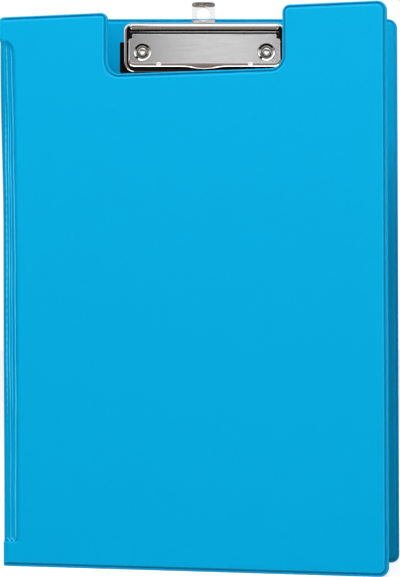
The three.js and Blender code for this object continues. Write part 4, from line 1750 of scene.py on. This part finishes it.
def main() -> None:
    """Loads the frame, builds every piece in order and sets up the studio."""
    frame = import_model()
    joints = {joint["name"]: joint for joint in frame["joints"]}
    fold_back = np.array(joints["spine_fold"]["pos_m"]) / MM
    fold_cover = np.array(joints["cover_fold"]["pos_m"]) / MM
    lean = -joints["spine_fold"]["range_deg"][0]
    open_deg = lean - joints["cover_fold"]["range_deg"][0]
    back_frame = FlatFrame((fold_back[0], fold_back[1]), 0.0)
    spine_frame = FlatFrame((fold_back[0], fold_back[1]), math.radians(90 + lean))
    cover_frame = FlatFrame((fold_cover[0], fold_cover[1]), math.radians(open_deg))

    rear_low, rear_high = box_mm("back_rear_foil")
    sizes = PanelSizes(width=rear_high[0] - fold_back[0], height=rear_high[2] - rear_low[2])
    window = Window(start=64.35, end=168.15, foot=sizes.height - 35.4)
    foil = EmbossedFoil().material()

    # The back panel's rim gets only a little painted shade and highlight
    back = Panel("back", back_frame, sizes, rim_light_paint=0.15)
    cover = Panel("cover", cover_frame, sizes, window)
    rivet_boxes = [box_mm(name) for name in ("rivet_left", "rivet_right")]
    holes = tuple(circle((low[0] + high[0]) / 2 + CLIP_SHIFT - fold_back[0],
                         (low[2] + high[2]) / 2, RIVET_HOLE, 40)[::-1] for low, high in rivet_boxes)
    report(back.foil(Side.FRONT, foil, holes), "back", "cyan_foil", ("back_front_foil",))
    report(back.foil(Side.REAR, foil, holes), "back", "cyan_foil", ("back_rear_foil",))
    report(cover.foil(Side.FRONT, foil), "cover", "cyan_foil", ("cover_outer_foil",))
    report(cover.foil(Side.REAR, foil), "cover", "cyan_foil", ("cover_inner_foil",))

    spine_width = float(np.linalg.norm(fold_cover[:2] - fold_back[:2]))
    cover_strip = FoldStrip(
        "cover_fold_strip", (fold_cover[0], fold_cover[1]), (spine_frame.up(), cover_frame.up()),
        (-spine_frame.along(), cover_frame.along()), spine_width / 2, sizes)
    back_strip = FoldStrip(
        "back_fold_strip", (fold_back[0], fold_back[1]), (spine_frame.up(), -back_frame.up()),
        (spine_frame.along(), back_frame.along()), spine_width / 2, sizes)
    front_piece = cover_strip.build(foil)
    cover_strip.bend(front_piece, "spine", "cover", True)
    settle(front_piece, "cyan_foil", ("cover_fold_foil", "spine_outer_foil"))
    rear_piece = back_strip.build(foil)
    back_strip.bend(rear_piece, "back", "spine", False)
    settle(rear_piece, "cyan_foil", ("back_fold_foil", "spine_inner_foil"))

    board = GreyBoard().material()
    for node in ("back_board", "cover_board"):
        frame["nodes"][node].data.materials.clear()
        frame["nodes"][node].data.materials.append(board)
        frame["nodes"][node].visible_glossy = False

    plate_low, plate_high = box_mm("clip_plate")
    counter_low, counter_high = box_mm("counter_plate")
    left_low, left_high = rivet_boxes[0]
    bail_low, bail_high = box_mm("bail")
    hanger_low, hanger_high = box_mm("hanger")
    tube = np.array(joints["bail_lift"]["pos_m"]) / MM
    centre = (plate_low[0] + plate_high[0]) / 2 + CLIP_SHIFT
    rivet_x = centre - CLIP_SHIFT - (left_low[0] + left_high[0]) / 2
    bail_half = (bail_high[0] - bail_low[0]) / 2
    clip_frame = ClipFrame(
        centre=centre, face_y=counter_high[1], tube_w=tube[2], tube_n=counter_high[1] - tube[1],
        rivets=(-rivet_x, rivet_x), rivet_w=(left_low[2] + left_high[2]) / 2)
    clip = ClipPlate(clip_frame, bail_half - BAIL_GAP, sizes.height - PLATE_DEPTH)
    sheet = BrightNickel("nickel_on_pressed_steel", roughness=0.15).material()
    mirror = BrightNickel("nickel_on_bent_steel", roughness=0.07).material()
    # Dark nickel for the counter plate: its dark colour is a painted reflection of shade
    level = BrightNickel("nickel_with_painted_dark_reflection", "#343236", 0.08).material()
    # Near-black nickel: painted shade for the valley, the tube's underside, the dishes' arcs, the ears
    # and the wire's inner side and front bar
    shaded = BrightNickel("nickel_with_painted_shade", "#252326", 0.16).material()
    wire = BrightNickel("nickel_on_drawn_wire", roughness=0.09).material()
    # The pips' nickel is rubbed rough, and its pure white colour is a painted highlight
    wear_and_painted_light = BrightNickel("rubbed_nickel_with_painted_highlight_on_the_pips", "#ffffff", 0.42).material()
    # A greyer nickel: the painted dimmer reflection on top of the roll
    painted_dim_roll_top = BrightNickel("nickel_with_painted_dim_top_of_the_roll", "#a39b98", 0.12).material()
    clear = ClearPolystyrene().material()
    # The bar's grey-brown tint is partly the depth of clear plastic and partly painted dark reflections
    thick_and_painted_dark = ClearPolystyrene("thick_clear_polystyrene_with_painted_dark_reflections", "#8f8a86", 0.08, 2.2, 0.9).material()
    report(clip.plate(mirror, shaded, painted_dim_roll_top), "clip", "nickel_plate", ("clip_plate",))
    report(clip.flat_top(sheet), "clip", "nickel_plate", ())
    report(clip.pips(wear_and_painted_light), "clip", "nickel_plate", ())
    # The ears carry the painted shade of the notch beside the neck
    report(clip.ears(shaded), "clip", "nickel_plate", ())
    bail = Bail(clip_frame, bail_low, bail_high)
    report(bail.build(wire, shaded), "bail", "nickel_wire", ("bail",))
    rear_n = -(left_high[1] - clip_frame.face_y) + Rivet.washer_sheet + TAIL_INSET
    rivet = Rivet(clip_frame, clip.dimple_floor + clip.sheet / 2, rear_n)
    for side, x in zip(("left", "right"), clip_frame.rivets):
        turned = rivet.turned(f"rivet_{side}_turned", x, mirror)
        report(turned, "back", "nickel_plate", (f"rivet_{side}",))
    for side, x in zip(("left", "right"), clip_frame.rivets):
        washer = rivet.washer(f"washer_{side}_turned", x, mirror)
        report(washer, "back", "nickel_plate", (f"washer_{side}",))
    counter = CounterPlate(clip_frame, counter_low, counter_high)
    report(counter.build(level, mirror), "back", "nickel_plate", ("counter_plate",))
    hanger = Hanger(clip_frame, hanger_low, hanger_high, sizes.height + HOLE_RISE)
    report(hanger.build(clear, thick_and_painted_dark), "hanger", "clear_plastic", ("hanger",))

    Studio().build(back_frame)


if __name__ == "__main__":
    logging.basicConfig(level=logging.INFO, format="%(message)s")
    main()
